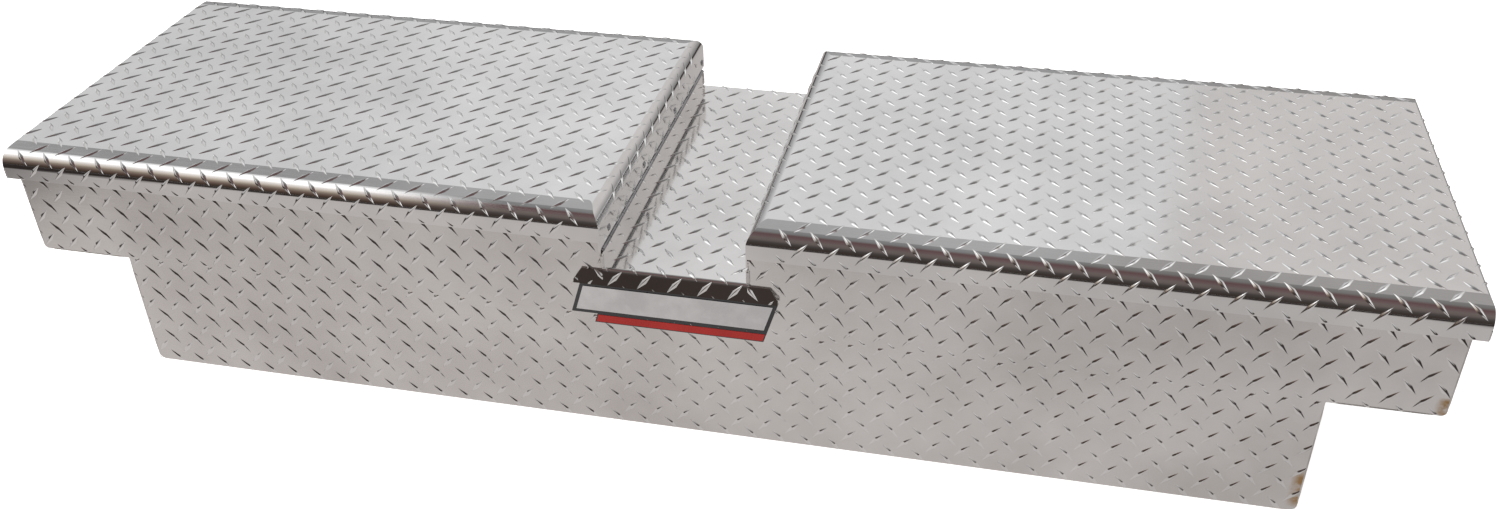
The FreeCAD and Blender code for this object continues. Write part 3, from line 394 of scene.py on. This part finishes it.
def fade(tree, value, start, end):
    """1 at start, falling to 0 at end."""
    return map_range(tree, value, (start, end), (1.0, 0.0))


def rise(tree, value, start, end):
    """0 at start, rising to 1 at end."""
    return calculate(tree, "SUBTRACT", 1.0, fade(tree, value, start, end))


# the sockets of a colour Mix node: its factor and its two colours
MIX_SLOTS = (0, 6, 7)


def blend_colour(tree, factor, one, two, kind="MIX"):
    made = add(tree, "ShaderNodeMix", data_type="RGBA", blend_type=kind)
    for slot, value in zip(MIX_SLOTS, (factor, one, two)):
        if isinstance(value, (tuple, list)):
            made.inputs[slot].default_value = tuple(value) + (1,)
        elif isinstance(value, (int, float)):
            made.inputs[slot].default_value = value
        else:
            tree.links.new(value, made.inputs[slot])
    return made.outputs[2]


# ---- finishes ------------------------------------------------------------------------------------


# a surface counts as a flange as its normal turns to the front or back past these two values
FLANGE_FACING = (0.85, 0.93)
FLANGE_LIFT = 0.16


def tipped_flange(tree, normal):
    """Shade the deck's turned-down edges as if they leaned further; the mesh stays as folded."""
    _, y, _ = split(tree, normal)
    facing = rise(tree, calculate(tree, "ABSOLUTE", y), *FLANGE_FACING)
    lift = add(tree, "ShaderNodeCombineXYZ")
    tree.links.new(calculate(tree, "MULTIPLY", facing, FLANGE_LIFT), lift.inputs["Z"])
    total = add(tree, "ShaderNodeVectorMath", operation="ADD")
    tree.links.new(normal, total.inputs[0])
    tree.links.new(lift.outputs["Vector"], total.inputs[1])
    return total.outputs["Vector"]


def rolled_aluminium(name, tones, roughness, waviness=0.5 * MM, extra=None, tip=None):
    """Bright mill-rolled aluminium: cloudy tone, fine rolling grain, and a slightly wavy sheet.

    extra(tree, colour) may stain the colour and tip(tree, normal) may turn the shading."""
    made, tree, skin = material(name)
    here = position(tree)
    clouds = noise(tree, here, 5.0, 4.0, 0.6)
    colour = ramp(tree, clouds, [(0.32, tones[0]), (0.52, tones[1]), (0.7, tones[2])])
    if extra is not None:
        colour = extra(tree, colour)
    tree.links.new(colour, skin.inputs["Base Color"])
    skin.inputs["Metallic"].default_value = 1.0
    streaks = noise(tree, position(tree, (3, 60, 60)), 9.0, 5.0, 0.65)
    tree.links.new(spread(tree, streaks, *roughness), skin.inputs["Roughness"])
    waves = bump(tree, noise(tree, here, 7.0, 1.0), waviness)
    fine = noise(tree, position(tree, (25, 700, 700)), 1.0, 4.0, 0.7)
    surface = bump(tree, fine, 0.02 * MM, waves)
    tree.links.new(tip(tree, surface) if tip else surface, skin.inputs["Normal"])
    return made


def weld_stains(tree, colour):
    """Brown heat tint in patches beside two upright corner welds at the right of the front."""
    here = position(tree)
    x, y, z = split(tree, here)
    front_gap = calculate(tree, "ABSOLUTE", calculate(tree, "ADD", y, WALL_SIDE))
    spotty = rise(tree, noise(tree, here, 55.0, 3.0, 0.6), 0.30, 0.50)
    for edge, middle, half in SCORCHES:
        gap = calculate(tree, "ABSOLUTE", calculate(tree, "SUBTRACT", edge, x))
        height = calculate(tree, "ABSOLUTE", calculate(tree, "SUBTRACT", z, middle))
        band = fade(tree, height, half * 0.6, half)
        near = fade(tree, calculate(tree, "MAXIMUM", gap, front_gap), *SCORCH_WIDE)
        amount = calculate(tree, "MULTIPLY", calculate(tree, "MULTIPLY", near, spotty), band)
        colour = blend_colour(tree, amount, colour, SCORCH_BROWN)
    return colour


def metal(name, dark, light, roughness, grain=(40, 40, 40)):
    """Plain worked metal with a cloudy tone and a directional grain."""
    made, tree, skin = material(name)
    clouds = noise(tree, position(tree), 22.0, 4.0, 0.6)
    tree.links.new(ramp(tree, clouds, [(0.35, dark), (0.65, light)]), skin.inputs["Base Color"])
    skin.inputs["Metallic"].default_value = 1.0
    lines = noise(tree, position(tree, grain), 12.0, 4.0, 0.6)
    tree.links.new(spread(tree, lines, *roughness), skin.inputs["Roughness"])
    tree.links.new(bump(tree, lines, 0.01 * MM), skin.inputs["Normal"])
    return made


def coating(name, dark, light, roughness, gloss=0.0):
    """Paint, moulded rubber or enamel: slightly uneven colour over an orange-peel skin."""
    made, tree, skin = material(name)
    clouds = noise(tree, position(tree), 15.0, 3.0, 0.5)
    tree.links.new(ramp(tree, clouds, [(0.35, dark), (0.65, light)]), skin.inputs["Base Color"])
    peel = noise(tree, position(tree), 720.0, 2.0, 0.5)
    tree.links.new(spread(tree, peel, *roughness), skin.inputs["Roughness"])
    tree.links.new(bump(tree, peel, 0.02 * MM), skin.inputs["Normal"])
    skin.inputs["Coat Weight"].default_value = gloss
    skin.inputs["Coat Roughness"].default_value = 0.08
    return made


# heat marks: the upright edge they sit on, the middle of their height and half their height
SCORCHES = ((TUB_END, 34 * MM, 30 * MM), (WING_END, 178 * MM, 14 * MM))
SCORCH_WIDE = (5 * MM, 15 * MM)
SCORCH_BROWN = (0.42, 0.27, 0.13)
WARM = ((0.67, 0.65, 0.635), (0.77, 0.755, 0.745), (0.85, 0.84, 0.83))
COOL = ((0.74, 0.738, 0.738), (0.83, 0.828, 0.828), (0.895, 0.893, 0.892))
SOFT = ((0.72, 0.708, 0.70), (0.81, 0.798, 0.789), (0.875, 0.864, 0.855))
WALL_METAL = rolled_aluminium("tread_wall", WARM, (0.16, 0.27), extra=weld_stains)
LID_METAL = rolled_aluminium("tread_lid", COOL, (0.05, 0.13))
DECK_METAL = rolled_aluminium("tread_deck", SOFT, (0.05, 0.12), waviness=0.25 * MM, tip=tipped_flange)
LUG_METAL = rolled_aluminium("tread_lug", COOL, (0.08, 0.16), waviness=0.1 * MM)
PLAIN_METAL = rolled_aluminium("plain_sheet", WARM, (0.25, 0.42))
WELD_METAL = metal("weld_bead", (0.52, 0.50, 0.48), (0.80, 0.79, 0.78), (0.22, 0.4))
RUBBER = coating("seal_rubber", (0.012, 0.012, 0.013), (0.03, 0.03, 0.032), (0.55, 0.8))
HINGE_METAL = metal("hinge_steel", (0.30, 0.30, 0.31), (0.50, 0.50, 0.51), (0.28, 0.45))
ZINC = metal("zinc_steel", (0.55, 0.56, 0.56), (0.74, 0.75, 0.76), (0.25, 0.42))
BLACK = coating("strut_black", (0.01, 0.01, 0.011), (0.022, 0.022, 0.024), (0.3, 0.45), gloss=0.4)
CHROME = metal("strut_chrome", (0.76, 0.77, 0.78), (0.86, 0.87, 0.88), (0.04, 0.1))
STAINLESS = metal("latch_stainless", (0.56, 0.56, 0.57), (0.72, 0.72, 0.73), (0.16, 0.3), (6, 90, 6))
PLATE_DARK = coating("plate_dark", (0.012, 0.013, 0.015), (0.03, 0.032, 0.036), (0.2, 0.34), gloss=0.6)
PLATE_BRIGHT = metal("plate_bright", (0.70, 0.71, 0.72), (0.86, 0.87, 0.88), (0.12, 0.25), (4, 90, 90))
PLATE_RED = coating("plate_red", (0.44, 0.012, 0.008), (0.56, 0.022, 0.014), (0.22, 0.34), gloss=0.15)

FINISH = {
    "tread_plate": WALL_METAL, "plain_sheet": PLAIN_METAL, "seal_rubber": RUBBER,
    "hinge_steel": HINGE_METAL, "zinc_steel": ZINC, "strut_black": BLACK, "strut_chrome": CHROME,
    "latch_stainless": STAINLESS, "plate_dark": PLATE_DARK, "plate_bright": PLATE_BRIGHT,
    "plate_red": PLATE_RED,
}


def finish_nodes():
    """Every carried-over CAD node takes the finish of its material slot."""
    slots = {part["node"]: part["material_slot"] for part in frame["record"]["subparts"]}
    for name, obj in frame["nodes"].items():
        chosen = FINISH[slots[name]]
        if name.endswith("lid_skin"):
            chosen = LID_METAL
        if name == "centre_bridge":
            chosen = DECK_METAL
        obj.data.materials.clear()
        obj.data.materials.append(chosen)


# ---- tread pattern on every sheet -------------------------------------------------------------

WALL_PITCH = (35.1 * MM, 35.1 * MM)
END_PITCH = (35.1 * MM, 35.4 * MM)
LID_PITCH = (36.85 * MM, 34.0 * MM)
DECK_PITCH = (37.0 * MM, 37.2 * MM)
# the place of one left-leaning lug on each sheet; on a lid the first number is from its left flat edge
LOWER_WALL_FIRST = (-717 * MM, 6.5 * MM)
UPPER_LEFT_FIRST = (-842 * MM, 164 * MM)
UPPER_RIGHT_FIRST = (-858 * MM, 165 * MM)
END_FIRST = (12 * MM, -238 * MM)
LID_FIRST = {"left": (21 * MM, -215.5 * MM), "right": (23 * MM, -246 * MM)}
DECK_FIRST = (-92.5 * MM, -240 * MM)
WINDOW_EDGE = 0.5 * MM
RIM_INSET = 5 * MM


def level(a, b):
    """A straight run along one axis with no height."""
    return Profile([(a, 0.0), (b, 0.0)], [])


def upright(y, z_low, z_high):
    """A flat wall: the first coordinate stays put while the height rises."""
    return Profile([(y, z_low), (y, z_high)], []).count_from(z_low)


def wall_lugs():
    """The front and back walls, bare where the notch, the deck's flange and the nameplate are."""
    gap = LID_INNER + SHEET_THICK
    plate_low, plate_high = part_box("nameplate")
    edge = WINDOW_EDGE
    step = plate_low.z + PLATE_STEP
    right = plate_high.x - PLATE_LEAN * (plate_high.z - step)
    field = (plate_low.x + edge, right - edge, step, plate_high.z - edge, PLATE_LEAN)
    foot = (plate_low.x + PLATE_FOOT_INSET + edge, right - PLATE_LEAN * PLATE_STEP - edge,
            plate_low.z + edge, step + edge, PLATE_LEAN)
    notch = (-gap, gap, NOTCH_FOOT, WALL_TOP + 0.05, 0)
    covered = (-EAR_END + edge, EAR_END - edge, DECK_FLANGE_LOW, DECK, 0)
    for side, sign in (("front", 1), ("back", -1)):
        y = -sign * WALL_SIDE
        windows = [notch, covered] + ([field, foot] if sign > 0 else [])
        for part, start, end, bottom, top, first in (
                ("lower", -TUB_END, TUB_END, 0.0, SEAM, LOWER_WALL_FIRST),
                ("upper_left", -WING_END, 0.0, SEAM, WALL_TOP, UPPER_LEFT_FIRST),
                ("upper_right", 0.0, WING_END, SEAM, WALL_TOP, UPPER_RIGHT_FIRST)):
            across = level(sign * start, sign * end).count_from(start)
            lug_field("%s_%s_lugs" % (side, part), "box", Sheet(across, upright(y, bottom, top), 0.0),
                      first, WALL_PITCH, windows=windows)


def end_lugs():
    """Tub side, wing floor and end wall are one bent sheet at each end."""
    for side, sign in (("left", -1), ("right", 1)):
        corners = [
            (sign * TUB_END, 0.0), (sign * TUB_END, SEAM),
            (sign * WING_END, SEAM), (sign * WING_END, WALL_TOP),
        ]
        if sign > 0:
            corners.reverse()
        path = Profile(corners, [STEP_BEND, WING_BEND] if sign < 0 else [WING_BEND, STEP_BEND])
        path.count_from(0.0)
        sheet = Sheet(path, level(-WALL_SIDE, WALL_SIDE), 0.0)
        dish_low, dish_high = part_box(side + "_latch_dish")
        heights = (dish_low.z + RIM_INSET, dish_high.z - RIM_INSET)
        if sign < 0:
            reach = [path.end - (WALL_TOP - z) for z in heights]
        else:
            reach = sorted(WALL_TOP - z for z in heights)
        window = (reach[0], reach[1], dish_low.y + RIM_INSET, dish_high.y - RIM_INSET, 0)

        def near_fixing(s, t, path=path, sign=sign):
            x, z = path.at(s)[:2]
            found = np.zeros(s.shape, bool)
            for hole_x, hole_y in FIXING_HOLES:
                near = np.hypot(x - hole_x, t - hole_y) < FIXING_CLEAR
                found |= near & (np.abs(z - SEAM) < 2 * MM)
            return found

        lug_field(side + "_end_lugs", "box", sheet, END_FIRST, END_PITCH,
                  windows=[window], bare=near_fixing)


def lid_profiles(sign):
    """A lid's outline from end to end, and from front to back."""
    across = [(sign * LID_END, SKIRT_LOW), (sign * LID_END, LID_TOP),
              (sign * LID_INNER, LID_TOP), (sign * LID_INNER, FLANGE_LOW)]
    bends = [LID_END_BEND, LID_INNER_BEND]
    if sign > 0:
        across.reverse()
        bends.reverse()
    edge = LID_TOP - SLOPE_DROP
    inner = LID_SIDE - SLOPE_RUN
    along = [(-LID_SIDE, SKIRT_LOW), (-LID_SIDE, edge), (-inner, LID_TOP),
             (inner, LID_TOP), (LID_SIDE, edge), (LID_SIDE, SKIRT_LOW)]
    folds = [LID_FRONT_BEND, SLOPE_BEND, SLOPE_BEND, LID_FRONT_BEND]
    return Profile(across, bends, 1), Profile(along, folds, 2)


def lid_lugs():
    for side, sign in (("left", -1), ("right", 1)):
        path_x, path_y = lid_profiles(sign)
        sheet = Sheet(path_x, path_y, LID_TOP)
        end_flat = sign * (LID_END - LID_END_BEND)
        inner_flat = sign * (LID_INNER + LID_INNER_BEND)
        s_low, s_high = sorted((end_flat, inner_flat))
        flat_t = LID_SIDE - SLOPE_RUN

        def corner(s, t, s_low=s_low, s_high=s_high, flat_t=flat_t, past=1 * MM):
            past_end = (s < s_low - past) | (s > s_high + past)
            return past_end & (np.abs(t) > flat_t + past)

        first = (s_low + LID_FIRST[side][0], LID_FIRST[side][1])
        lug_field(side + "_lid_lugs", side + "_lid", sheet, first, LID_PITCH, bare=corner)


def deck_lugs():
    """The deck with its two flanges, and the flanges' ears past each side of the notch."""
    path = Profile([(-DECK_FLANGE_OUT, DECK_FLANGE_LOW), (-DECK_OUT, DECK), (DECK_OUT, DECK),
                    (DECK_FLANGE_OUT, DECK_FLANGE_LOW)], [DECK_BEND, DECK_BEND], 1)
    sheet = Sheet(level(-LID_INNER, LID_INNER), path, 0.0)
    lug_field("deck_lugs", "box", sheet, DECK_FIRST, DECK_PITCH)
    share = EAR_DROP / (DECK - DECK_FLANGE_LOW)
    top = (DECK_OUT + (DECK_FLANGE_OUT - DECK_OUT) * share, DECK - EAR_DROP)
    foot = (DECK_FLANGE_OUT, DECK_FLANGE_LOW)
    wide, tall = EAR_CORNER
    for side, sx in (("left", -1), ("right", 1)):
        across = level(*sorted((sx * LID_INNER, sx * EAR_END)))
        front = Profile([(-foot[0], foot[1]), (-top[0], top[1])], [])
        back = Profile([top, foot], [])
        for name, rise, edge, way in (("front", front, front.end, 1), ("back", back, back.start, -1)):
            corner = (sx * tall, way * wide, tall * EAR_END + wide * (way * edge - tall))
            lug_field("%s_%s_ear_lugs" % (side, name), "box", Sheet(across, rise, 0.0),
                      DECK_FIRST, DECK_PITCH, limits=[corner])


# ---- welds and seals ----------------------------------------------------------------------------

RIPPLE = 3.2 * MM
BEAD_SPOKES = 8
WELD_THIN = 1.1 * MM
WELD_THICK = 2.6 * MM
WELD_SUNK = 0.5 * MM
SEAL_WIDE = 9 * MM
SEAL_TURN = 6 * MM


def bead(name, body, start, end, radius):
    """A weld bead: overlapping ripples along a straight joint."""
    start, end = Vector(start), Vector(end)
    way = (end - start).normalized()
    side = way.cross(Vector((0, 0, 1)) if abs(way.z) < 0.9 else Vector((1, 0, 0))).normalized()
    up = side.cross(way)
    rings = max(6, int((end - start).length / (RIPPLE / 4)))
    spokes = BEAD_SPOKES
    points, faces = [], []
    for i in range(rings + 1):
        share = i / rings
        phase = (share * (end - start).length / RIPPLE) % 1.0
        swell = radius * (0.82 + 0.18 * math.sqrt(max(0.0, 1 - phase ** 2)))
        swell *= min(1.0, 0.35 + 6 * min(share, 1 - share))
        wander = side * float(random.normal(0, radius * 0.04))
        for k in range(spokes):
            angle = 2 * math.pi * k / spokes
            points.append(start.lerp(end, share) + wander
                          + (side * math.cos(angle) + up * math.sin(angle)) * swell)
    for i in range(rings):
        for k in range(spokes):
            after = (k + 1) % spokes
            faces.append((i * spokes + k, i * spokes + after,
                          (i + 1) * spokes + after, (i + 1) * spokes + k))
    caps = [tuple(reversed(range(spokes))), tuple(rings * spokes + k for k in range(spokes))]
    obj = smooth_mesh(name, [tuple(p) for p in points], faces + caps, WELD_METAL)
    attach(obj, body)


def welds():
    """Upright and step seams of the body, the lids' corners, and the deck's posts."""
    thin = WELD_THIN
    sunk = WELD_SUNK
    for x_name, sx in (("left", -1), ("right", 1)):
        for y_name, sy in (("front", -1), ("back", 1)):
            tag = "%s_%s" % (x_name, y_name)
            y = sy * (WALL_SIDE - sunk)
            wing = sx * (WING_END - sunk)
            tub = sx * (TUB_END - sunk)
            bead("weld_wing_" + tag, "box", (wing, y, SEAM + WING_BEND), (wing, y, WALL_TOP), thin)
            bead("weld_tub_" + tag, "box", (tub, y, TUB_BEND), (tub, y, SEAM - STEP_BEND), thin)
            bead("weld_step_" + tag, "box", (tub + sx * STEP_BEND, y, SEAM + sunk),
                 (wing - sx * WING_BEND, y, SEAM + sunk), thin)
            skirt_x = sx * (LID_END - sunk)
            skirt_y = sy * (LID_SIDE - sunk)
            bead("weld_lid_" + tag, x_name + "_lid", (skirt_x, skirt_y, SKIRT_LOW + 1 * MM),
                 (skirt_x, skirt_y, LID_TOP - SLOPE_DROP - 0.85 * LID_FRONT_BEND), thin)
            post = sx * (LID_INNER + SHEET_THICK / 2)
            bead("weld_post_" + tag, "box", (post, sy * WALL_SIDE, DECK + 1 * MM),
                 (post, sy * WALL_SIDE, high("centre_bridge").z), WELD_THICK)


def seal(side):
    """Hollow bulb seal on the rim of an opening, in the space of the plain CAD seal."""
    node = side + "_weather_seal"
    a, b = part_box(node)
    wide = SEAL_WIDE
    centre_x, centre_y = (a.x + b.x) / 2, (a.y + b.y) / 2
    half_x, half_y = (b.x - a.x - wide) / 2, (b.y - a.y - wide) / 2
    tall = b.z - a.z
    turn = SEAL_TURN
    path = []
    for cx, cy, begin in ((1, 1, 0), (-1, 1, 90), (-1, -1, 180), (1, -1, 270)):
        for k in range(7):
            angle = math.radians(begin + 15 * k)
            path.append((centre_x + cx * (half_x - turn) + turn * math.cos(angle),
                         centre_y + cy * (half_y - turn) + turn * math.sin(angle),
                         math.cos(angle), math.sin(angle)))
    # half of a flat foot, the round bulb, and the other half, as shares of the width and height
    section = [(-0.48, 0.02), (-0.48, 0.22), (-0.30, 0.28)]
    for k in range(9):
        angle = math.radians(205 - 230 * k / 8)
        section.append((0.36 * math.cos(angle), 0.62 + 0.36 * math.sin(angle)))
    section += [(0.30, 0.28), (0.48, 0.22), (0.48, 0.02)]
    points, faces = [], []
    for x, y, out_x, out_y in path:
        for across, rise in section:
            points.append((x + out_x * across * wide, y + out_y * across * wide, a.z + rise * tall))
    count = len(section)
    for i in range(len(path)):
        following = (i + 1) % len(path)
        for k in range(count):
            after = (k + 1) % count
            faces.append((i * count + k, following * count + k,
                          following * count + after, i * count + after))
    obj = smooth_mesh(side + "_bulb_seal", points, faces, RUBBER)
    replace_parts(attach(obj, "box"), node)


# ---- stage ---------------------------------------------------------------------------------------

CAMERA_SPOT = Vector((0.3938, -1.5453, 1.1665))
CAMERA_YAW = math.radians(13.077)
CAMERA_PITCH = math.radians(33.656)
CAMERA_ROLL = math.radians(1.065)
CAMERA_LENS = 33.21
CAMERA_SENSOR = 36.0


def camera():
    yaw, pitch, roll = CAMERA_YAW, CAMERA_PITCH, CAMERA_ROLL
    ahead = Vector((-math.sin(yaw) * math.cos(pitch), math.cos(yaw) * math.cos(pitch), -math.sin(pitch)))
    right = Vector((math.cos(yaw), math.sin(yaw), 0))
    up = Vector((-math.sin(yaw) * math.sin(pitch), math.cos(yaw) * math.sin(pitch), math.cos(pitch)))
    image_right = right * math.cos(roll) - up * math.sin(roll)
    image_up = right * math.sin(roll) + up * math.cos(roll)
    data = bpy.data.cameras.new("camera")
    data.sensor_width = CAMERA_SENSOR
    data.lens = CAMERA_LENS
    data.clip_start, data.clip_end = 0.05, 60
    obj = placed("camera", data)
    turn = Matrix((image_right, image_up, -ahead)).transposed().to_4x4()
    obj.matrix_world = Matrix.Translation(CAMERA_SPOT) @ turn
    bpy.context.scene.camera = obj


# the floor as the metal mirrors it: pale near the box, falling off to a dark room
FLOOR_NEAR = (0.59, 0.555, 0.54)
FLOOR_RIGHT = (0.54, 0.513, 0.501)
FLOOR_FAR = (0.024, 0.018, 0.016)
# how far past the box it stays lit, then is dark: in front and behind, at the ends, and off the
# two front corners, which are the places that the lugs of the front wall mirror
FLOOR_AHEAD = (1.3, 2.4)
FLOOR_ASIDE = (1.8, 3.2)
FLOOR_CORNER = (0.22, 0.58)
CORNER_FRONT = (-0.58, -0.34)
# it turns duller from the left of the box to the right, and a little more so away from the box
FLOOR_DULLER = (-0.3, 0.6)
FLOOR_OUT = (0.15, 0.48)
FLOOR_OUT_TINT = (0.89, 0.89, 0.89)
FLOOR_GLOW = (0.7, 0.7, 0.7)
FLOOR_SIZE = 30
BLACK_BASE = (0.0, 0.0, 0.0)


def floor():
    """Plain pale floor; to the metal it is a lit patch without the box's own shadow."""
    mesh = bpy.data.meshes.new("floor")
    corners = [(-1, -1), (1, -1), (1, 1), (-1, 1)]
    mesh.from_pydata([(x * FLOOR_SIZE, y * FLOOR_SIZE, -1 * MM) for x, y in corners], [], [(0, 1, 2, 3)])
    obj = placed("floor", mesh)
    made, tree, skin = material("floor_pale")
    clouds = noise(tree, position(tree), 1.5, 2.0)
    pale = ramp(tree, clouds, [(0.3, (0.93, 0.93, 0.93)), (0.7, (0.96, 0.96, 0.96))])
    x, y, _ = split(tree, position(tree))
    gaps = [calculate(tree, "SUBTRACT", calculate(tree, "ABSOLUTE", place), edge)
            for place, edge in ((x, LID_END), (y, LID_SIDE))]
    abreast = rise(tree, y, *CORNER_FRONT)
    aside = calculate(tree, "MULTIPLY", abreast, fade(tree, gaps[0], *FLOOR_ASIDE))
    across = calculate(tree, "MAXIMUM", aside, fade(tree, gaps[0], *FLOOR_CORNER))
    close = calculate(tree, "MINIMUM", across, fade(tree, gaps[1], *FLOOR_AHEAD))
    further = rise(tree, calculate(tree, "MAXIMUM", *gaps), *FLOOR_OUT)
    lit = blend_colour(tree, rise(tree, x, *FLOOR_DULLER), FLOOR_NEAR, FLOOR_RIGHT)
    lit = blend_colour(tree, further, lit, FLOOR_OUT_TINT, "MULTIPLY")
    mirrored = blend_colour(tree, close, FLOOR_FAR, lit)
    ray = add(tree, "ShaderNodeLightPath")
    seen = ray.outputs["Is Camera Ray"]
    tree.links.new(blend_colour(tree, seen, BLACK_BASE, pale), skin.inputs["Base Color"])
    skin.inputs["Roughness"].default_value = 0.9
    skin.inputs["Specular IOR Level"].default_value = 0.1
    glow = blend_colour(tree, seen, mirrored, FLOOR_GLOW)
    tree.links.new(glow, skin.inputs["Emission Color"])
    skin.inputs["Emission Strength"].default_value = 1.0
    mesh.materials.append(made)


def softbox(name, spot, power, colour=(1, 1, 1)):
    """A square lamp that points at the box and isn't mirrored in the metal."""
    data = bpy.data.lights.new(name, "AREA")
    data.shape, data.size, data.size_y = "RECTANGLE", SOFTBOX_SIZE, SOFTBOX_SIZE
    data.energy, data.color = power, colour
    obj = placed(name, data)
    obj.location = spot
    obj.rotation_euler = (-Vector(spot)).to_track_quat("-Z", "Y").to_euler()
    obj.visible_glossy = False


# what the metal sees, by the angle in degrees from the horizon behind the box, over the top,
# to the horizon in front of it: once for the left of the room and once for the right
ROOM_LEFT = [
    (0, (0.26, 0.26, 0.265)), (14, (0.50, 0.50, 0.505)), (26, (0.70, 0.70, 0.705)),
    (44, (0.70, 0.70, 0.705)), (53, (0.29, 0.29, 0.29)), (62, (0.80, 0.80, 0.80)),
    (76, (1.5, 1.5, 1.5)), (98, (1.5, 1.48, 1.46)), (112, (0.95, 0.90, 0.86)),
    (127, (0.64, 0.56, 0.48)), (140, (0.31, 0.25, 0.20)), (154, (0.16, 0.11, 0.09)),
    (168, (0.07, 0.047, 0.035)), (180, (0.04, 0.030, 0.025)),
]
ROOM_RIGHT = [
    (0, (0.27, 0.27, 0.275)), (14, (0.52, 0.52, 0.525)), (26, (0.76, 0.76, 0.765)),
    (44, (0.76, 0.76, 0.765)), (53, (0.45, 0.45, 0.45)), (62, (0.26, 0.26, 0.26)),
    (80, (0.22, 0.22, 0.22)), (97, (0.13, 0.075, 0.075)), (112, (0.15, 0.10, 0.10)),
    (127, (0.16, 0.13, 0.12)), (140, (0.145, 0.12, 0.11)), (154, (0.07, 0.06, 0.058)),
    (168, (0.05, 0.04, 0.035)), (180, (0.04, 0.030, 0.025)),
]
# what it sees to either side, by the height in degrees above the horizon
ROOM_SIDE = [
    (0, (0.42, 0.41, 0.40)), (24, (0.64, 0.63, 0.62)), (42, (1.3, 1.3, 1.3)),
    (60, (1.3, 1.3, 1.3)), (90, (0.8, 0.8, 0.8)),
]
# where these parts of the room meet, by the direction that the metal looks in: x to the right,
# y to the back and z up, each from -1 to 1
LEFT_ROOM = (-0.46, -0.37)
LEFT_WALL = (0.62, 0.85)
RIGHT_WALL = (0.55, 0.80)
# the right-hand wall comes further round in front of the box than behind it, by this much
RIGHT_WALL_REACH = 0.2
RIGHT_WALL_FRONT = (-0.3, 0.0)
# a duller, warmer stretch of wall behind and to the right, from this slope of x to y
DULL_BACK = (0.10, 0.13)
DULL_BACK_TINT = (0.86, 0.83, 0.81)
# low down towards the front corners the walls are dark, as the floor is
LOW_WALL = (0.06, 0.22)
LOW_WALL_FRONT = (-0.60, -0.45)
LOW_WALL_TINT = (0.12, 0.10, 0.09)
SOFTBOX_SIZE = 3.0


def by_angle(tree, angle, stops, full):
    """A ramp whose places are given in degrees out of a full span; angle is in radians."""
    share = calculate(tree, "DIVIDE", angle, math.radians(full))
    return ramp(tree, share, [(degrees / full, colour) for degrees, colour in stops])


def surroundings():
    """Soft studio: pale to the eye, with bright and dark heights for the metal to reflect."""
    world = bpy.data.worlds.new("studio")
    bpy.context.scene.world = world
    world.use_nodes = True
    tree = world.node_tree
    coords = add(tree, "ShaderNodeTexCoord")
    x, y, z = split(tree, coords.outputs["Generated"])
    turn = calculate(tree, "ARCTAN2", z, y)
    rooms = blend_colour(tree, fade(tree, x, *LEFT_ROOM),
                         by_angle(tree, turn, ROOM_RIGHT, 180), by_angle(tree, turn, ROOM_LEFT, 180))
    past_edge = rise(tree, calculate(tree, "DIVIDE", x, y), *DULL_BACK)
    behind = calculate(tree, "MULTIPLY", past_edge, calculate(tree, "GREATER_THAN", y, 0.0))
    rooms = blend_colour(tree, behind, rooms, DULL_BACK_TINT, "MULTIPLY")
    to_left = rise(tree, calculate(tree, "MULTIPLY", x, -1.0), *LEFT_WALL)
    extra = calculate(tree, "MULTIPLY", fade(tree, y, *RIGHT_WALL_FRONT), RIGHT_WALL_REACH)
    to_right = rise(tree, calculate(tree, "ADD", x, extra), *RIGHT_WALL)
    aside = calculate(tree, "ADD", to_left, to_right)
    sides = by_angle(tree, calculate(tree, "ARCSINE", z), ROOM_SIDE, 90)
    low_front = calculate(tree, "MULTIPLY", fade(tree, z, *LOW_WALL), fade(tree, y, *LOW_WALL_FRONT))
    sides = blend_colour(tree, low_front, sides, LOW_WALL_TINT, "MULTIPLY")
    heights = blend_colour(tree, aside, rooms, sides)
    ray = add(tree, "ShaderNodeLightPath")
    seen = blend_colour(tree, ray.outputs["Is Camera Ray"], heights, (1.0, 1.0, 1.0))
    backdrop = tree.nodes["Background"]
    tree.links.new(seen, backdrop.inputs["Color"])
    backdrop.inputs["Strength"].default_value = 1.0
    softbox("key_light", (-1.2, -2.2, 3.2), 95)
    softbox("back_light", (0.8, 2.6, 3.2), 70, (0.97, 0.985, 1.0))
    bpy.context.scene.view_settings.view_transform = "Standard"


# ---- build -----------------------------------------------------------------------------------------

finish_nodes()
wall_lugs()
end_lugs()
lid_lugs()
deck_lugs()
welds()
for name in ("left", "right"):
    seal(name)
floor()
surroundings()
camera()
